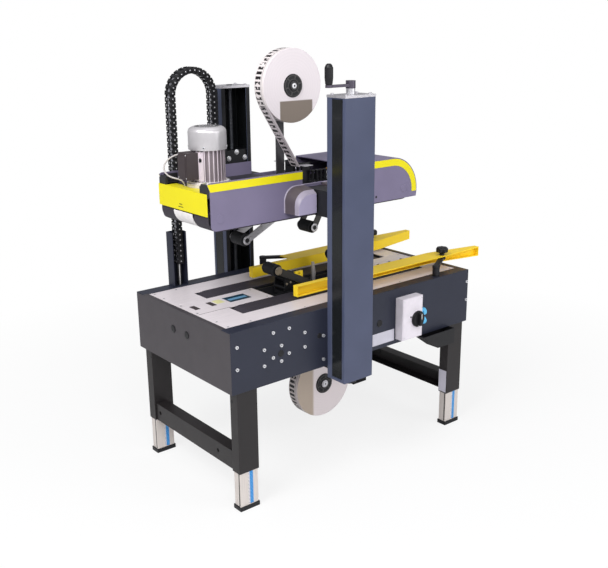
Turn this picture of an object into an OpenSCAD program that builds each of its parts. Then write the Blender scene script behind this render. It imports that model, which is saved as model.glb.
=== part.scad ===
// Carton sealer: bed with belts and taping unit, head on two columns, side guides, telescopic legs.
// Millimetres, +Z up. X runs from the exit end to the infeed end, -Y is the operator's side.

/* [Bed] */
// Length of the bed
bed_length = 1080; // [1040:10:1200]
// Width of the bed
bed_width = 570; // [560:5:640]
// Height of the rim above the floor
bed_height = 612; // [600:1:700]
// Height of the side and end panels
panel_height = 202; // [190:1:210]
// Sheet thickness of the panels
sheet = 3; // [2:0.5:4]
// Width of the rim along the long sides
rim_side = 48; // [40:1:60]
// Width of the rim along the ends
rim_end = 17; // [15:1:20]
// Thickness of the bed plates
plate_thick = 3; // [2:0.5:4]
// Where the taping opening starts, towards the exit
open_exit = -208; // [-215:1:-206]

/* [Legs] */
// Leg sleeve width along X
sleeve_x = 76; // [70:1:90]
// Leg sleeve depth along Y
sleeve_y = 40; // [36:1:50]
// Distance from the bed's end to the sleeve
sleeve_inset = 19; // [15:1:40]
// Height of the sleeve's lower end
sleeve_bottom = 133; // [120:1:170]
// Distance from the rim down to the sleeve's upper end
sleeve_drop = 52; // [37:1:92]
// Sliding clearance of a leg in its sleeve, each side
leg_gap = 0.3; // [0.2:0.05:0.5]
// Distance from a sleeve's upper end down to its inner leg's top
leg_drop = 130; // [110:1:160]
// Height of the foot
foot_height = 15; // [12:1:30]

/* [Columns] */
// Middle of the columns along X
column_mid = -96.5; // [-110:0.5:-80]
// Column width along X
column_x = 124; // [120:1:130]
// Column depth along Y
column_y = 85; // [84:1:95]
// Distance from the rim down to the columns' lower end
column_drop = 243; // [237:1:252]
// Height of the columns above the rim
column_rise = 677; // [668:1:788]
// Column wall
column_wall = 5; // [4:0.5:6]
// Width of a column's inner lip
column_lip = 17; // [12:1:20]
// Thickness of the column's end plates
column_plate = 8; // [6:1:10]
// Lead screw radius
screw_r = 10; // [8:0.5:12]
// Running clearance of shafts and pins, on the radius
fit = 0.05; // [0.02:0.01:0.08]
// Sprocket radius
sprocket_r = 25; // [22:1:27]
// Crank arm length
crank_length = 87; // [60:1:120]
// Crank grip radius
grip_r = 13; // [10:0.5:16]
// Height of the grip's top above the crank hub's base
grip_height = 74; // [60:1:90]

/* [Belts] */
// Belt width
belt_width = 80; // [70:1:82]
// Belt thickness
belt_thick = 3; // [2:0.5:4]
// Pulley radius
pulley_r = 38; // [34:0.5:40]
// Inner edge of the lower belts
lower_belt_y = 66; // [66:0.5:68]
// Lower belt pulley centres along X, exit
lower_pulley_exit = -352; // [-360:1:-340]
// Lower belt pulley centres along X, infeed
lower_pulley_infeed = 402; // [380:1:410]
// Inner edge of the upper belts
upper_belt_y = 56; // [56:0.5:57]
// Upper belt pulley centres along X, exit
upper_pulley_exit = -465; // [-468:1:-455]
// Upper belt pulley centres along X, infeed
upper_pulley_infeed = 330; // [320:1:335]
// Height of the upper pulleys above the head's lower edge
upper_pulley_rise = 36; // [36:1:40]
// Roller shaft radius
shaft_r = 10; // [8:0.5:12]

/* [Head] */
// Exit end of the head's side panels
head_exit = -498; // [-505:1:-490]
// Outer face of the head's side panels
head_half = 142; // [141:0.5:145]
// Height of the head above the rim, as it stands here
head_clear = 278; // [270:1:300]
// Height of the head panels
head_height = 150; // [140:1:160]
// Nose radius
nose_r = 122; // [115:1:125]
// Middle of the nose's arc along X
nose_x = 276; // [270:1:285]
// Height of the deck above the head's lower edge
deck_rise = 107; // [104:1:109]
// Height of the yellow stripe
stripe = 24; // [18:1:30]
// Half width of the carriage boss
boss_half = 119; // [110:1:125]
// Outer face of the carriage boss
boss_face = 207; // [195:1:215]
// Height of the carriage boss
boss_height = 103; // [95:1:105]
// Corner radius of the carriage boss
boss_round = 46; // [40:1:60]
// Height of the bearing housing's lower edge above the head's
boss_lift = 20; // [10:1:26]

/* [Motor] */
// Motor axis along X
motor_x = -408; // [-410:1:-405]
// Motor body radius
motor_r = 54; // [48:1:58]
// Fan cowl radius
cowl_r = 60.5; // [56:0.5:62]
// Height of the motor body on the deck
motor_height = 125; // [118:1:133]
// Height of the cowl
cowl_height = 71; // [58:1:78]
// Number of cooling fins
fins = 24; // [16:2:32]

/* [Taping units] */
// Tape width
tape_width = 50; // [48:1:55]
// Tape roll hub radius
hub_r = 38; // [36:0.5:40]
// Upper tape roll radius
upper_roll_r = 121; // [90:1:125]
// Lower tape roll radius
lower_roll_r = 128; // [90:1:130]
// Upper tape roll centre along X
upper_roll_x = -82; // [-84:1:-80]
// Height of the upper tape roll's centre above the deck
upper_roll_rise = 304; // [299:1:340]
// Lower tape roll centre along X
lower_roll_x = 48; // [46:1:50]
// Distance from the bed plate down to the lower tape roll's centre
lower_roll_drop = 404; // [380:1:410]
// Lower wiping roller along X
lower_wipe_x = -165; // [-166:1:-160]
// Upper wiping roller along X
upper_wipe_x = -294; // [-295:1:-290]
// Spacing of the two rollers of a unit
roller_spacing = 290; // [288:1:292]
// Roller radius
roller_r = 21; // [18:0.5:21]
// Roller length
roller_length = 60; // [50:1:62]
// Height of the lower rollers above the bed plate
lower_rise = 75; // [71:1:77]
// Distance from the head's lower edge down to the upper rollers
upper_drop = 77; // [74:1:79]
// Horizontal reach of the wiping arm
wipe_run = 170; // [165:1:172]
// Rise of the wiping arm
wipe_rise = 84; // [82:1:85]
// Horizontal reach of the applying arm
apply_run = 55; // [52:1:58]
// Rise of the applying arm
apply_rise = 94; // [92:1:95]
// Arm plate: inner face across Y
arm_y = 34; // [33.5:0.5:35]
// Arm plate thickness
arm_thick = 4; // [3:0.5:5]
// Unit frame plate: inner face across Y
unit_y = 44; // [43:0.5:44]
// Pivot pin radius
pin_r = 6; // [5:0.5:7]

/* [Side guides] */
// Distance from the bed's side to the guides' inner face
guide_inset = 153; // [145:1:165]
// Clearance under the guides
guide_clear = 8; // [6:1:13]
// Height of the guides
guide_height = 37; // [35:1:45]
// Exit end of the rear guide
guide_exit = -152; // [-160:1:-145]
// How much further the front guide reaches towards the exit
guide_reach = 24; // [0:1:30]
// Where the guides start to flare
guide_flare = 480; // [470:1:490]
// Infeed end of the guides
guide_end = 700; // [680:1:720]
// Width of the guide's wide flange
guide_wide = 76; // [70:1:78]
// Width of the guide's narrow flange
guide_narrow = 22; // [18:1:26]
// Distance from the bed's side to the guide posts
post_inset = 23; // [19:1:27]
// Guide post along X, exit
post_exit = -10; // [-15:1:0]
// Guide post along X, infeed
post_infeed = 385; // [380:1:386]
// Guide arm length
guide_arm = 130; // [126:1:132]
// Guide arm angle
guide_arm_angle = 33; // [31:1:34]
// Guide knob radius
knob_r = 23; // [18:1:25]

/* [Control box and cable chain] */
// Control box exit edge
box_x = 158; // [150:1:170]
// Control box width
box_width = 99; // [90:1:110]
// Distance from the rim down to the control box's lower edge
box_drop = 184; // [182:1:192]
// Control box height
box_height = 151; // [140:1:152]
// Control box depth
box_depth = 34; // [28:1:40]
// Switch knob radius
switch_r = 26; // [20:1:30]
// Cable chain fixed run along X
chain_x = -378; // [-382:1:-376]
// Distance between the chain's runs
chain_span = 165; // [160:1:168]
// Height of the cable chain above the rim
chain_rise = 750; // [730:1:770]
// Chain thickness
chain_thick = 22; // [20:1:24]
// Chain width
chain_width = 34; // [30:1:36]

/* [Hidden] */
$fn = 64;

bed_half = bed_length / 2;
half_w = bed_width / 2;
sleeve_top = bed_height - sleeve_drop;
leg_top = sleeve_top - leg_drop;
column_bottom = bed_height - column_drop;
column_top = bed_height + column_rise;
head_bottom = bed_height + head_clear;
head_top = head_bottom + head_height;
deck_top = head_bottom + deck_rise;
boss_top = head_bottom + boss_height;
upper_pulley_z = head_bottom + upper_pulley_rise;
cowl_z = deck_top + motor_height;
cowl_top = cowl_z + cowl_height;
upper_roll_z = deck_top + upper_roll_rise;
upper_roller_z = head_bottom - upper_drop;
guide_y = half_w - guide_inset;
guide_bottom = bed_height + guide_clear;
guide_top = guide_bottom + guide_height;
post_y = half_w - post_inset;
box_z = bed_height - box_drop;
chain_top = bed_height + chain_rise;
bed_x = (bed_half - guide_end) / 2;
panel_z = bed_height - panel_height;
plate_top = bed_height - sheet;
plate_z = plate_top - plate_thick;
lower_roll_z = plate_top - lower_roll_drop;
lower_roller_z = plate_top + lower_rise;
seam = 0.2;
plate_lap = 10;
belt_gap = 1;
belt_over = 1;
lower_pulley_z = plate_top + belt_over - belt_thick - pulley_r;
cheek_in = lower_belt_y - belt_gap - sheet;
cheek_out = lower_belt_y + belt_width + belt_gap;
bar_top = lower_pulley_z - pulley_r - belt_thick - 5;
bar_h = 25;
bar_w = 30;
bars = [-90, 110, 300];
sleeve_wall = 3;
brace_h = 65;
screw_y = half_w + column_y / 2 - 3.5;
sprocket_z = column_bottom + column_plate + 4;
sprocket_h = 10;
sync_thick = 7;
hub_z = column_top + 19;
hub_h = 22;
grip_top = hub_z + grip_height;
hub_radius = 15;
arm_len = guide_arm;
pin_dx = guide_arm * cos(guide_arm_angle);
pin_dy = guide_arm * sin(guide_arm_angle);
guide_pin_y = post_y - pin_dy;
arm_z = guide_top - sheet - 13;
guide_arm_h = 10;
unit_thick = 3;
rubber_r = roller_r;
axle_r = 5;
boss_wall = 3;
boss_low = head_bottom + boss_lift;
boss_rim = 16;
boss_steps = 10;
boss_flare = 3;
boss_draft = [[head_half - 1, -boss_flare, -boss_flare], [head_half + boss_flare, 0, 0],
  [boss_face - boss_rim, 3, 8], [boss_face, 7, 20]];
carriage_half = 34;
lower_wipe_pivot = [lower_wipe_x + wipe_run, lower_roller_z - wipe_rise];
lower_apply_pivot = [lower_wipe_x + roller_spacing + apply_run, lower_roller_z - apply_rise];
open_infeed = lower_apply_pivot[0] + 26;
upper_wipe_pivot = [upper_wipe_x + wipe_run, upper_roller_z + wipe_rise];
upper_apply_pivot = [upper_wipe_x + roller_spacing + apply_run, upper_roller_z + apply_rise];
switch_x = 228;
switch_z = box_z + 70;
spindle_r = 9;
roll_side = 29;
post_in = unit_y + unit_thick;
post_thick = 7;
guide_roll_r = 9;
upper_guide_x = -46;
upper_guide_z = deck_top + 37;
chain_r = chain_span / 2;
chain_mid = chain_x + chain_span / 2;
chain_arch_z = chain_top - chain_r - chain_thick / 2;
chain_y = half_w - 4 - chain_width;
chain_low = bed_height + 78;
chain_end_z = deck_top + 9;
channel_top = bed_height + 194;
tie_z = head_bottom + 48;
ties = [-215, upper_apply_pivot[0] + 15, 250];
head_face = head_exit - 10;
face_sheet = 3;
notch_exit = -140;
notch_infeed = 60;

// Bolt places on the side panels: along X, and down from the rim
bolts = [[21 - bed_half, 49], [20 - bed_half, 121], [-381, 34], [-417, 82], [-318, 33], [-350, 83],
  [-320, 116], [-383, 116], [-418, 135], [-351, 135], [-255, 62], [-255, 111], [-176, 92], [-176, 174],
  [bed_half - 9, 45], [bed_half - 9, 116]];

// Route of the motor lead from the terminal box round to the deck; heights are above the deck
lead_way = [[-470, 24, 109], [-470, 32, 109], [-471, 40, 110], [-476, 56, 109], [-488, 72, 103],
  [-503, 83, 92], [-514, 88, 78], [-518, 88, 63], [-515, 83, 49], [-507, 73, 39], [-497, 60, 34],
  [-488, 48, 31], [-481, 40, 25], [-477, 36, 16], [-476, 35, 7], [-476, 35, -1]];
lead = [for (p = lead_way) p + [0, 0, deck_top]];
lead_end = lead[len(lead) - 1];
lead_r = 2.5;
flange_h = 16;
flange_r = motor_r + 16;
flange_step = 5;
seat_h = 10;
channel_exit = 23;
channel_infeed = 12;
lower_motor_run = 177;
tray_length = 168;
tray_floor = 88;
tray_depth = 58;
post_foot = 35;
post_head = 28;
pad_half = 26;
pad_z = 30;

module placed() {
  translate([bed_x, 0, 0]) children();
}

module both() {
  children();
  mirror([0, 1, 0]) children();
}

module block(x0, x1, y0, y1, z0, z1) {
  translate([x0, y0, z0]) cube([x1 - x0, y1 - y0, z1 - z0]);
}

module rod_x(x0, x1, y, z, r) {
  translate([x0, y, z]) rotate([0, 90, 0]) cylinder(r = r, h = x1 - x0);
}

module rod_y(x, y0, y1, z, r) {
  translate([x, y0, z]) rotate([-90, 0, 0]) cylinder(r = r, h = y1 - y0);
}

module rod_z(x, y, z0, z1, r) {
  translate([x, y, z0]) cylinder(r = r, h = z1 - z0);
}

// A plate in the XZ plane between two Y values
module wall_y(y0, y1) {
  translate([0, y1, 0]) rotate([90, 0, 0]) linear_extrude(y1 - y0) children();
}

module loop_2d(x0, x1, z, r) {
  translate([x0, z]) circle(r = r);
  translate([x1, z]) circle(r = r);
  translate([x0, z - r]) square([x1 - x0, 2 * r]);
}

module link_2d(p, q, r) {
  len = norm(q - p);
  translate(p) circle(r = r);
  translate(q) circle(r = r);
  translate(p) rotate(atan2(q[1] - p[1], q[0] - p[0])) translate([0, 1 - r]) square([len, 2 * r - 2]);
}

module corner_legs() {
  for (e = [-1, 1]) {
    for (s = [-1, 1]) {
      x = bed_half - sleeve_inset - sleeve_x / 2;
      y = half_w - sheet - sleeve_y / 2;
      translate([e * x, s * y, 0]) children();
    }
  }
}

module inner_legs() {
  wx = sleeve_x - 2 * sleeve_wall - 2 * leg_gap;
  wy = sleeve_y - 2 * sleeve_wall - 2 * leg_gap;
  color("silver") placed() corner_legs() difference() {
    union() {
      translate([-wx / 2, -wy / 2, foot_height - 1]) cube([wx, wy, leg_top - foot_height + 1]);
      translate([-sleeve_x / 2, -sleeve_y / 2, 0]) cube([sleeve_x, sleeve_y, foot_height]);
    }
    translate([-wx / 2 + 3, -wy / 2 + 3, foot_height]) cube([wx - 6, wy - 6, leg_top]);
  }
}

module leg_frames() {
  color("dimgray") placed() {
    corner_legs() difference() {
      translate([-sleeve_x / 2, -sleeve_y / 2, sleeve_bottom])
        cube([sleeve_x, sleeve_y, sleeve_top - sleeve_bottom]);
      translate([-sleeve_x / 2 + sleeve_wall, -sleeve_y / 2 + sleeve_wall, 0])
        cube([sleeve_x - 2 * sleeve_wall, sleeve_y - 2 * sleeve_wall, bed_height]);
    }
    for (e = [0, 180]) rotate([0, 0, e]) {
      x0 = -bed_half + sleeve_inset + 6;
      w = half_w - sheet - sleeve_y - seam;
      difference() {
        block(x0, x0 + 44, -w, w, sleeve_bottom, sleeve_bottom + brace_h);
        block(x0 + sheet, x0 + 45, -w - 1, w + 1, sleeve_bottom + sheet, sleeve_bottom + brace_h - sheet);
        for (y = [217, -152]) rod_x(x0 - 1, x0 + 10, y, sleeve_bottom + 34, 7);
      }
    }
  }
}

module side_panel_shape() {
  leg_in = bed_half - sleeve_inset - sleeve_x - 3;
  block(-bed_half, bed_half, half_w - sheet, half_w, panel_z, bed_height);
  block(-bed_half, bed_half, half_w - rim_side, half_w, plate_top, bed_height);
  block(-leg_in, leg_in, half_w - 25, half_w, panel_z, panel_z + sheet);
}

module side_panels() {
  color("slategray") placed() {
    difference() {
      side_panel_shape();
      for (x = [column_mid - 40, column_mid + 40]) rod_y(x, 0, half_w + 1, panel_z + 40, 3);
    }
    difference() {
      mirror([0, 1, 0]) side_panel_shape();
      rod_y(-351, -half_w - 1, 0, bed_height - 110, 9);
      rod_y(-192, -half_w - 1, 0, bed_height - 89, 7);
    }
  }
}

module end_panels() {
  w = half_w - sheet - seam;
  color("slategray") placed() for (e = [0, 180]) rotate([0, 0, e]) difference() {
    union() {
      block(-bed_half, -bed_half + sheet, -w, w, panel_z, plate_top - seam);
      block(-bed_half, -bed_half + rim_end, seam - half_w + rim_side, half_w - rim_side - seam,
        plate_top - 1, bed_height);
    }
    block(-bed_half + sheet, 0, -half_w, half_w, plate_top - 2, plate_top);
    for (y = [47, -36]) rod_x(-bed_half - 1, -bed_half + 10, e == 0 ? y : -y, bed_height - 73, 10);
  }
}

module belt_slot(y0) {
  block(lower_pulley_exit - pulley_r - belt_thick - 2, lower_pulley_infeed + pulley_r + belt_thick + 2,
    y0 - belt_gap, y0 + belt_width + belt_gap, 0, bed_height);
}

module bed_plates() {
  x1 = bed_half - rim_end + plate_lap;
  y1 = half_w - rim_side + plate_lap;
  cut = lower_belt_y - belt_gap - 0.5;
  color("gainsboro") placed() {
    both() difference() {
      block(-x1, x1, cut + 0.5, y1, plate_z, plate_top);
      belt_slot(lower_belt_y);
    }
    block(-x1, open_exit, -cut + 0.5, cut - 0.5, plate_z, plate_top);
    difference() {
      block(open_infeed, x1, -cut + 0.5, cut - 0.5, plate_z, plate_top);
      for (x = [346, 406, 469]) block(x - 8.5, x + 8.5, -7.5, 7.5, 0, bed_height);
    }
  }
}

module column_shape() {
  x0 = column_mid - column_x / 2;
  x1 = column_mid + column_x / 2;
  y1 = half_w + column_y;
  z0 = column_bottom + column_plate;
  z1 = column_top - column_plate;
  difference() {
    block(x0, x1, half_w, y1, column_bottom, column_top);
    block(x0 + column_wall, x1 - column_wall, half_w + column_wall, y1 - column_wall, z0, z1);
    block(x0 + column_lip, x1 - column_lip, half_w - 1, half_w + column_wall + 1, z0, z1);
    for (x = [x0, x1]) block(x - 2, x + 2, half_w + 22, y1 - 14, z0 + 2, z1 - 2);
    rod_z(column_mid, screw_y, 0, column_top + 1, screw_r + fit);
  }
}

module columns() {
  color("lightsteelblue") placed() both() column_shape();
}

module stadium_2d(r) {
  for (s = [-1, 1]) translate([column_mid, s * screw_y]) circle(r = r);
  translate([column_mid - r, -screw_y]) square([2 * r, 2 * screw_y]);
}

module sync_chain() {
  color("black") placed() translate([0, 0, sprocket_z + 1]) linear_extrude(sprocket_h - 2) difference() {
    stadium_2d(sprocket_r + 0.3 + sync_thick);
    stadium_2d(sprocket_r + 0.3);
  }
}

module chain_channel() {
  x0 = chain_x - chain_thick / 2 - channel_exit;
  x1 = chain_x + chain_thick / 2 + channel_infeed;
  y0 = chain_y - 4;
  color("slategray") placed() difference() {
    block(x0, x1, y0, half_w - 1, bed_height, channel_top);
    block(x0 + 3, x1 - 3, y0 - 1, half_w - 4, bed_height - 1, channel_top + 1);
  }
}

// A straight run of chain links, upwards from z0
module chain_links(x, z0, z1) {
  n = round((z1 - z0) / 19);
  p = (z1 - z0) / n;
  for (i = [0 : n - 1]) {
    block(x - chain_thick / 2, x + chain_thick / 2, chain_y, chain_y + chain_width,
      z0 + i * p + 2, z0 + i * p + p - 2);
  }
  block(x - chain_thick / 2 + 3, x + chain_thick / 2 - 3, chain_y + 3, chain_y + chain_width - 3, z0, z1);
}

module chain_fixed_run() {
  color("black") placed() {
    chain_links(chain_x, chain_low, chain_arch_z);
    for (x = [chain_x - 6, chain_x + 6]) rod_z(x, chain_y + chain_width / 2, bed_height, chain_low, 4);
  }
}

module chain_arch() {
  n = 14;
  step = 180 / n;
  pitch = 2 * (chain_r + chain_thick / 2) * tan(step / 2);
  core = chain_thick - 6;
  color("black") placed() translate([chain_mid, chain_y, chain_arch_z]) {
    for (i = [0 : n - 1]) rotate([0, -(i + 0.5) * step, 0]) translate([chain_r, 0, 0])
      translate([-chain_thick / 2, 0, -pitch / 2 + 2.5]) cube([chain_thick, chain_width, pitch - 5]);
    translate([0, chain_width - 3, 0]) rotate([90, 0, 0]) linear_extrude(chain_width - 6) difference() {
      circle(r = chain_r + core / 2);
      circle(r = chain_r - core / 2);
      translate([-200, -400]) square([400, 400]);
    }
  }
}

module chain_moving_run() {
  color("black") placed() chain_links(chain_x + chain_span, chain_end_z, chain_arch_z);
}

module belt_pair(y0, x0, x1, z) {
  both() wall_y(y0, y0 + belt_width) difference() {
    loop_2d(x0, x1, z, pulley_r + belt_thick);
    loop_2d(x0, x1, z, pulley_r);
  }
}

module lower_belts() {
  color("dimgray") placed()
    belt_pair(lower_belt_y, lower_pulley_exit, lower_pulley_infeed, lower_pulley_z);
}

module belt_beds() {
  x0 = lower_pulley_exit - 22;
  x1 = lower_pulley_infeed + 22;
  color("gray") placed() {
    both() difference() {
      union() {
        block(x0, x1, cheek_in, cheek_in + sheet, bar_top, plate_z - seam);
        block(x0, x1, cheek_out, cheek_out + sheet, bar_top, plate_z - seam);
        block(x0 + 50, x1 - 50, cheek_in, cheek_out + sheet, plate_z - 5, plate_z - seam);
      }
      for (x = [lower_pulley_exit, lower_pulley_infeed]) {
        rod_y(x, 0, half_w, lower_pulley_z, shaft_r + fit);
      }
    }
    for (x = bars) {
      w = half_w - sheet - seam;
      block(x - bar_w / 2, x + bar_w / 2, -w, w, bar_top - bar_h, bar_top - seam);
    }
  }
}

module belt_roller(x, z, y0, r_in, y1, y2) {
  rod_y(x, y1, y2, z, shaft_r);
  for (s = [-1, 1]) {
    rod_y(x, s > 0 ? y0 + 1 : -y0 - belt_width + 1, s > 0 ? y0 + belt_width - 1 : -y0 - 1, z, r_in);
  }
}

module lower_drive_roller() {
  y1 = 45 - half_w;
  y2 = cheek_out + sheet + 2;
  color("gray") placed()
    belt_roller(lower_pulley_exit, lower_pulley_z, lower_belt_y, pulley_r - 0.3, y1, y2);
}

module lower_idler_roller() {
  y = cheek_out + sheet + 2;
  color("gray") placed()
    belt_roller(lower_pulley_infeed, lower_pulley_z, lower_belt_y, pulley_r - 0.3, -y, y);
}

module lower_motor() {
  y0 = -half_w + sheet + seam;
  room = -y0 - cheek_out - sheet;
  r = 0.395 * room;
  y = y0 + 0.44 * room;
  z = lower_pulley_z - 64;
  x0 = lower_pulley_exit - 48;
  x1 = lower_pulley_exit + 50;
  color("dimgray") placed() difference() {
    union() {
      block(x0, x1, y0, y0 + 0.582 * room, z - 50, lower_pulley_z + 26);
      rod_x(x1 - 1, x1 + lower_motor_run, y, z, r);
      rod_x(x1 + lower_motor_run - 1, x1 + lower_motor_run + 7, y, z, r - 6);
    }
    rod_y(lower_pulley_exit, 43 - half_w, 0, lower_pulley_z, shaft_r + fit);
  }
}

// The frame of a taping unit, drawn for the lower one
module lower_tape_frame() {
  z0 = bar_top;
  color("silver") placed() difference() {
    union() {
      both() wall_y(unit_y, unit_y + unit_thick) translate([open_exit + 3, z0])
        square([open_infeed - open_exit - 4, plate_z - seam - z0]);
      rod_y(lower_wipe_pivot[0], -unit_y, unit_y, lower_wipe_pivot[1], pin_r);
      rod_y(lower_apply_pivot[0], -unit_y, unit_y, lower_apply_pivot[1], pin_r);
      rod_y(-70, -unit_y, unit_y, z0 + 14, 8);
      rod_y(5, -unit_y, unit_y, z0 + 14, 8);
      rod_y(lower_roll_x + lower_roll_r + 10, -unit_y, unit_y, z0 + 14, guide_roll_r);
      block(-84, -50, -28, -20, z0 + 10, plate_top + 55);
      rod_y(-75, -28, 28, plate_top + 36, 13);
      wall_y(-20, -15) polygon([[-4, z0 + 12], [14, z0 + 12], [16, plate_top + 31], [10, plate_top + 73],
        [0, plate_top + 75], [-2, plate_top + 41]]);
    }
    rod_y(-66, -40, -10, plate_top + 46, 4);
  }
}

module lower_roll_bracket() {
  color("silver") placed() {
    block(lower_roll_x - 18, lower_roll_x + 18, post_in + seam, post_in + post_thick,
      lower_roll_z - 18, plate_z - 25);
    rod_y(lower_roll_x, -roll_side - 1, post_in + 1, lower_roll_z, spindle_r);
    rod_y(lower_roll_x, -roll_side - 4, -roll_side - 0.5, lower_roll_z, 14);
    rod_y(lower_roll_x, roll_side + 0.5, post_in + 1, lower_roll_z, 14);
  }
}

module lower_tape_web() {
  x = lower_roll_x + lower_roll_r + 0.4;
  color("white") placed() block(x, x + 0.5, -tape_width / 2, tape_width / 2, lower_roll_z, bar_top + 14);
}

module tape_roll(x, z, r) {
  difference() {
    union() {
      rod_y(x, -tape_width / 2, tape_width / 2, z, r);
      rod_y(x, -roll_side, roll_side, z, hub_r);
    }
    rod_y(x, -50, 50, z, spindle_r + fit);
  }
}

module lower_tape_roll() {
  color("tan") placed() tape_roll(lower_roll_x, lower_roll_z, lower_roll_r);
}

module upper_tape_roll() {
  color("tan") placed() tape_roll(upper_roll_x, upper_roll_z, upper_roll_r);
}

module swing_arm(pivot, tip) {
  difference() {
    union() {
      both() wall_y(arm_y, arm_y + arm_thick) link_2d(pivot, tip, 13);
      rod_y(tip[0], -arm_y - arm_thick, arm_y + arm_thick, tip[1], axle_r);
    }
    rod_y(pivot[0], -100, 100, pivot[1], pin_r + fit);
  }
}

module tape_roller(x, z) {
  difference() {
    rod_y(x, -roller_length / 2, roller_length / 2, z, roller_r);
    rod_y(x, -100, 100, z, axle_r + fit);
  }
}

module lower_wipe_arm() {
  color("silver") placed() swing_arm(lower_wipe_pivot, [lower_wipe_x, lower_roller_z]);
}

module lower_apply_arm() {
  color("silver") placed() swing_arm(lower_apply_pivot, [lower_wipe_x + roller_spacing, lower_roller_z]);
}

module upper_wipe_arm() {
  color("silver") placed() swing_arm(upper_wipe_pivot, [upper_wipe_x, upper_roller_z]);
}

module upper_apply_arm() {
  color("silver") placed() swing_arm(upper_apply_pivot, [upper_wipe_x + roller_spacing, upper_roller_z]);
}

module lower_wipe_roller() {
  color("black") placed() tape_roller(lower_wipe_x, lower_roller_z);
}

module lower_apply_roller() {
  color("black") placed() tape_roller(lower_wipe_x + roller_spacing, lower_roller_z);
}

module upper_wipe_roller() {
  color("black") placed() tape_roller(upper_wipe_x, upper_roller_z);
}

module upper_apply_roller() {
  color("black") placed() tape_roller(upper_wipe_x + roller_spacing, upper_roller_z);
}

module upper_tape_frame() {
  z1 = deck_top - 12;
  color("silver") placed() {
    difference() {
      union() {
        both() wall_y(unit_y, unit_y + unit_thick) union() {
          translate([upper_wipe_x + 4, upper_wipe_pivot[1] - 12])
            square([roller_spacing + apply_run + 20, z1 - upper_wipe_pivot[1] + 12]);
          translate([-64, z1 - 1]) square([36, upper_guide_z + 14 - z1]);
        }
        rod_y(upper_wipe_pivot[0], -unit_y, unit_y, upper_wipe_pivot[1], pin_r);
        rod_y(upper_apply_pivot[0], -unit_y, unit_y, upper_apply_pivot[1], pin_r);
        rod_y(upper_guide_x, -unit_y, unit_y, upper_guide_z, guide_roll_r);
        rod_y(-20, -unit_y, unit_y, z1 - 20, guide_roll_r);
        rod_y(40, -unit_y, unit_y, z1 - 20, 8);
      }
      for (x = ties) rod_y(x, -head_half, head_half, tie_z, 7 + fit);
    }
  }
}

module roll_post() {
  color("gray") placed() {
    block(upper_roll_x - 16, upper_roll_x + 16, post_in + seam, post_in + post_thick,
      head_bottom + post_foot, upper_roll_z + post_head);
    rod_y(upper_roll_x, -roll_side - 1, post_in + 1, upper_roll_z, spindle_r);
    rod_y(upper_roll_x, -roll_side - 4, -roll_side - 0.5, upper_roll_z, 14);
    rod_y(upper_roll_x, roll_side + 0.5, post_in + 1, upper_roll_z, 14);
  }
}

// The tape runs off the left of the upper roll to the left of its guide roller
module upper_tape_web() {
  r1 = upper_roll_r + 0.4;
  r2 = guide_roll_r + 0.1;
  dx = upper_guide_x - upper_roll_x;
  dz = upper_guide_z - upper_roll_z;
  d = norm([dx, dz]);
  a = atan2(dz, dx) - acos((r1 - r2) / d);
  len = sqrt(d * d - (r1 - r2) * (r1 - r2));
  color("white") placed() wall_y(-tape_width / 2, tape_width / 2) translate([upper_roll_x, upper_roll_z])
    rotate(a) translate([r1, 0]) square([0.5, len]);
}

module tray_2d(t) {
  x1 = bed_half - sleeve_inset - sleeve_x - 2;
  z1 = panel_z - seam;
  polygon([[x1 - tray_length + 2 * t, z1 + t], [x1 - t, z1 + t], [x1 - t, z1 - tray_depth + t],
    [x1 - tray_floor + t, z1 - tray_depth + t]]);
}

module control_box() {
  y1 = -half_w - seam;
  y0 = y1 - box_depth;
  x1 = box_x + box_width;
  color("whitesmoke") placed() {
    difference() {
      union() {
        block(box_x, x1, y0, y1, box_z, box_z + box_height);
        rod_y(switch_x, y0 - 4, y0, switch_z, 29);
        block(x1 - 1, x1 + 12, y0 + 6, y0 + 30, box_z + 32, box_z + 97);
        rod_x(x1 + 11, x1 + 28, y0 + 18, box_z + 80, 14);
        rod_x(x1 + 11, x1 + 28, y0 + 18, box_z + 47, 14);
      }
      rod_y(switch_x, y0 - 5, y0 + 20, switch_z, pin_r + fit);
    }
    difference() {
      wall_y(-half_w - 27, -half_w + 30) tray_2d(0);
      wall_y(-half_w - 24, -half_w + 27) tray_2d(3);
    }
  }
}

module switch_knob() {
  y0 = -half_w - seam - box_depth - 4;
  color("black") placed() {
    rod_y(switch_x, y0 - 10, y0 - 0.3, switch_z, switch_r);
    rod_y(switch_x, y0 - 1, y0 + 18, switch_z, pin_r);
    block(switch_x - 6, switch_x + 6, y0 - 22, y0 - 9, switch_z - 22, switch_z + 22);
  }
}

module guide_posts() {
  color("black") placed() both() for (x = [post_exit, post_infeed]) {
    rod_z(x, post_y, bed_height, arm_z - 0.3, 13);
    rod_z(x, post_y, bed_height, arm_z + guide_arm_h, pin_r);
  }
}

module swing_link(x) {
  translate([x, post_y, arm_z]) rotate([0, 0, -guide_arm_angle]) difference() {
    union() {
      cylinder(r = 14, h = guide_arm_h);
      translate([0, -10, 0]) cube([arm_len, 20, guide_arm_h]);
      translate([arm_len, 0, 0]) cylinder(r = 14, h = guide_arm_h);
    }
    for (d = [0, arm_len]) translate([d, 0, -1]) cylinder(r = pin_r + fit, h = guide_arm_h + 2);
  }
}

module guide_arm_rear_exit() {
  color("dimgray") placed() swing_link(post_exit);
}

module guide_arm_rear_infeed() {
  color("dimgray") placed() swing_link(post_infeed);
}

module guide_arm_front_exit() {
  color("dimgray") placed() mirror([0, 1, 0]) swing_link(post_exit);
}

module guide_arm_front_infeed() {
  color("dimgray") placed() mirror([0, 1, 0]) swing_link(post_infeed);
}

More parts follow.
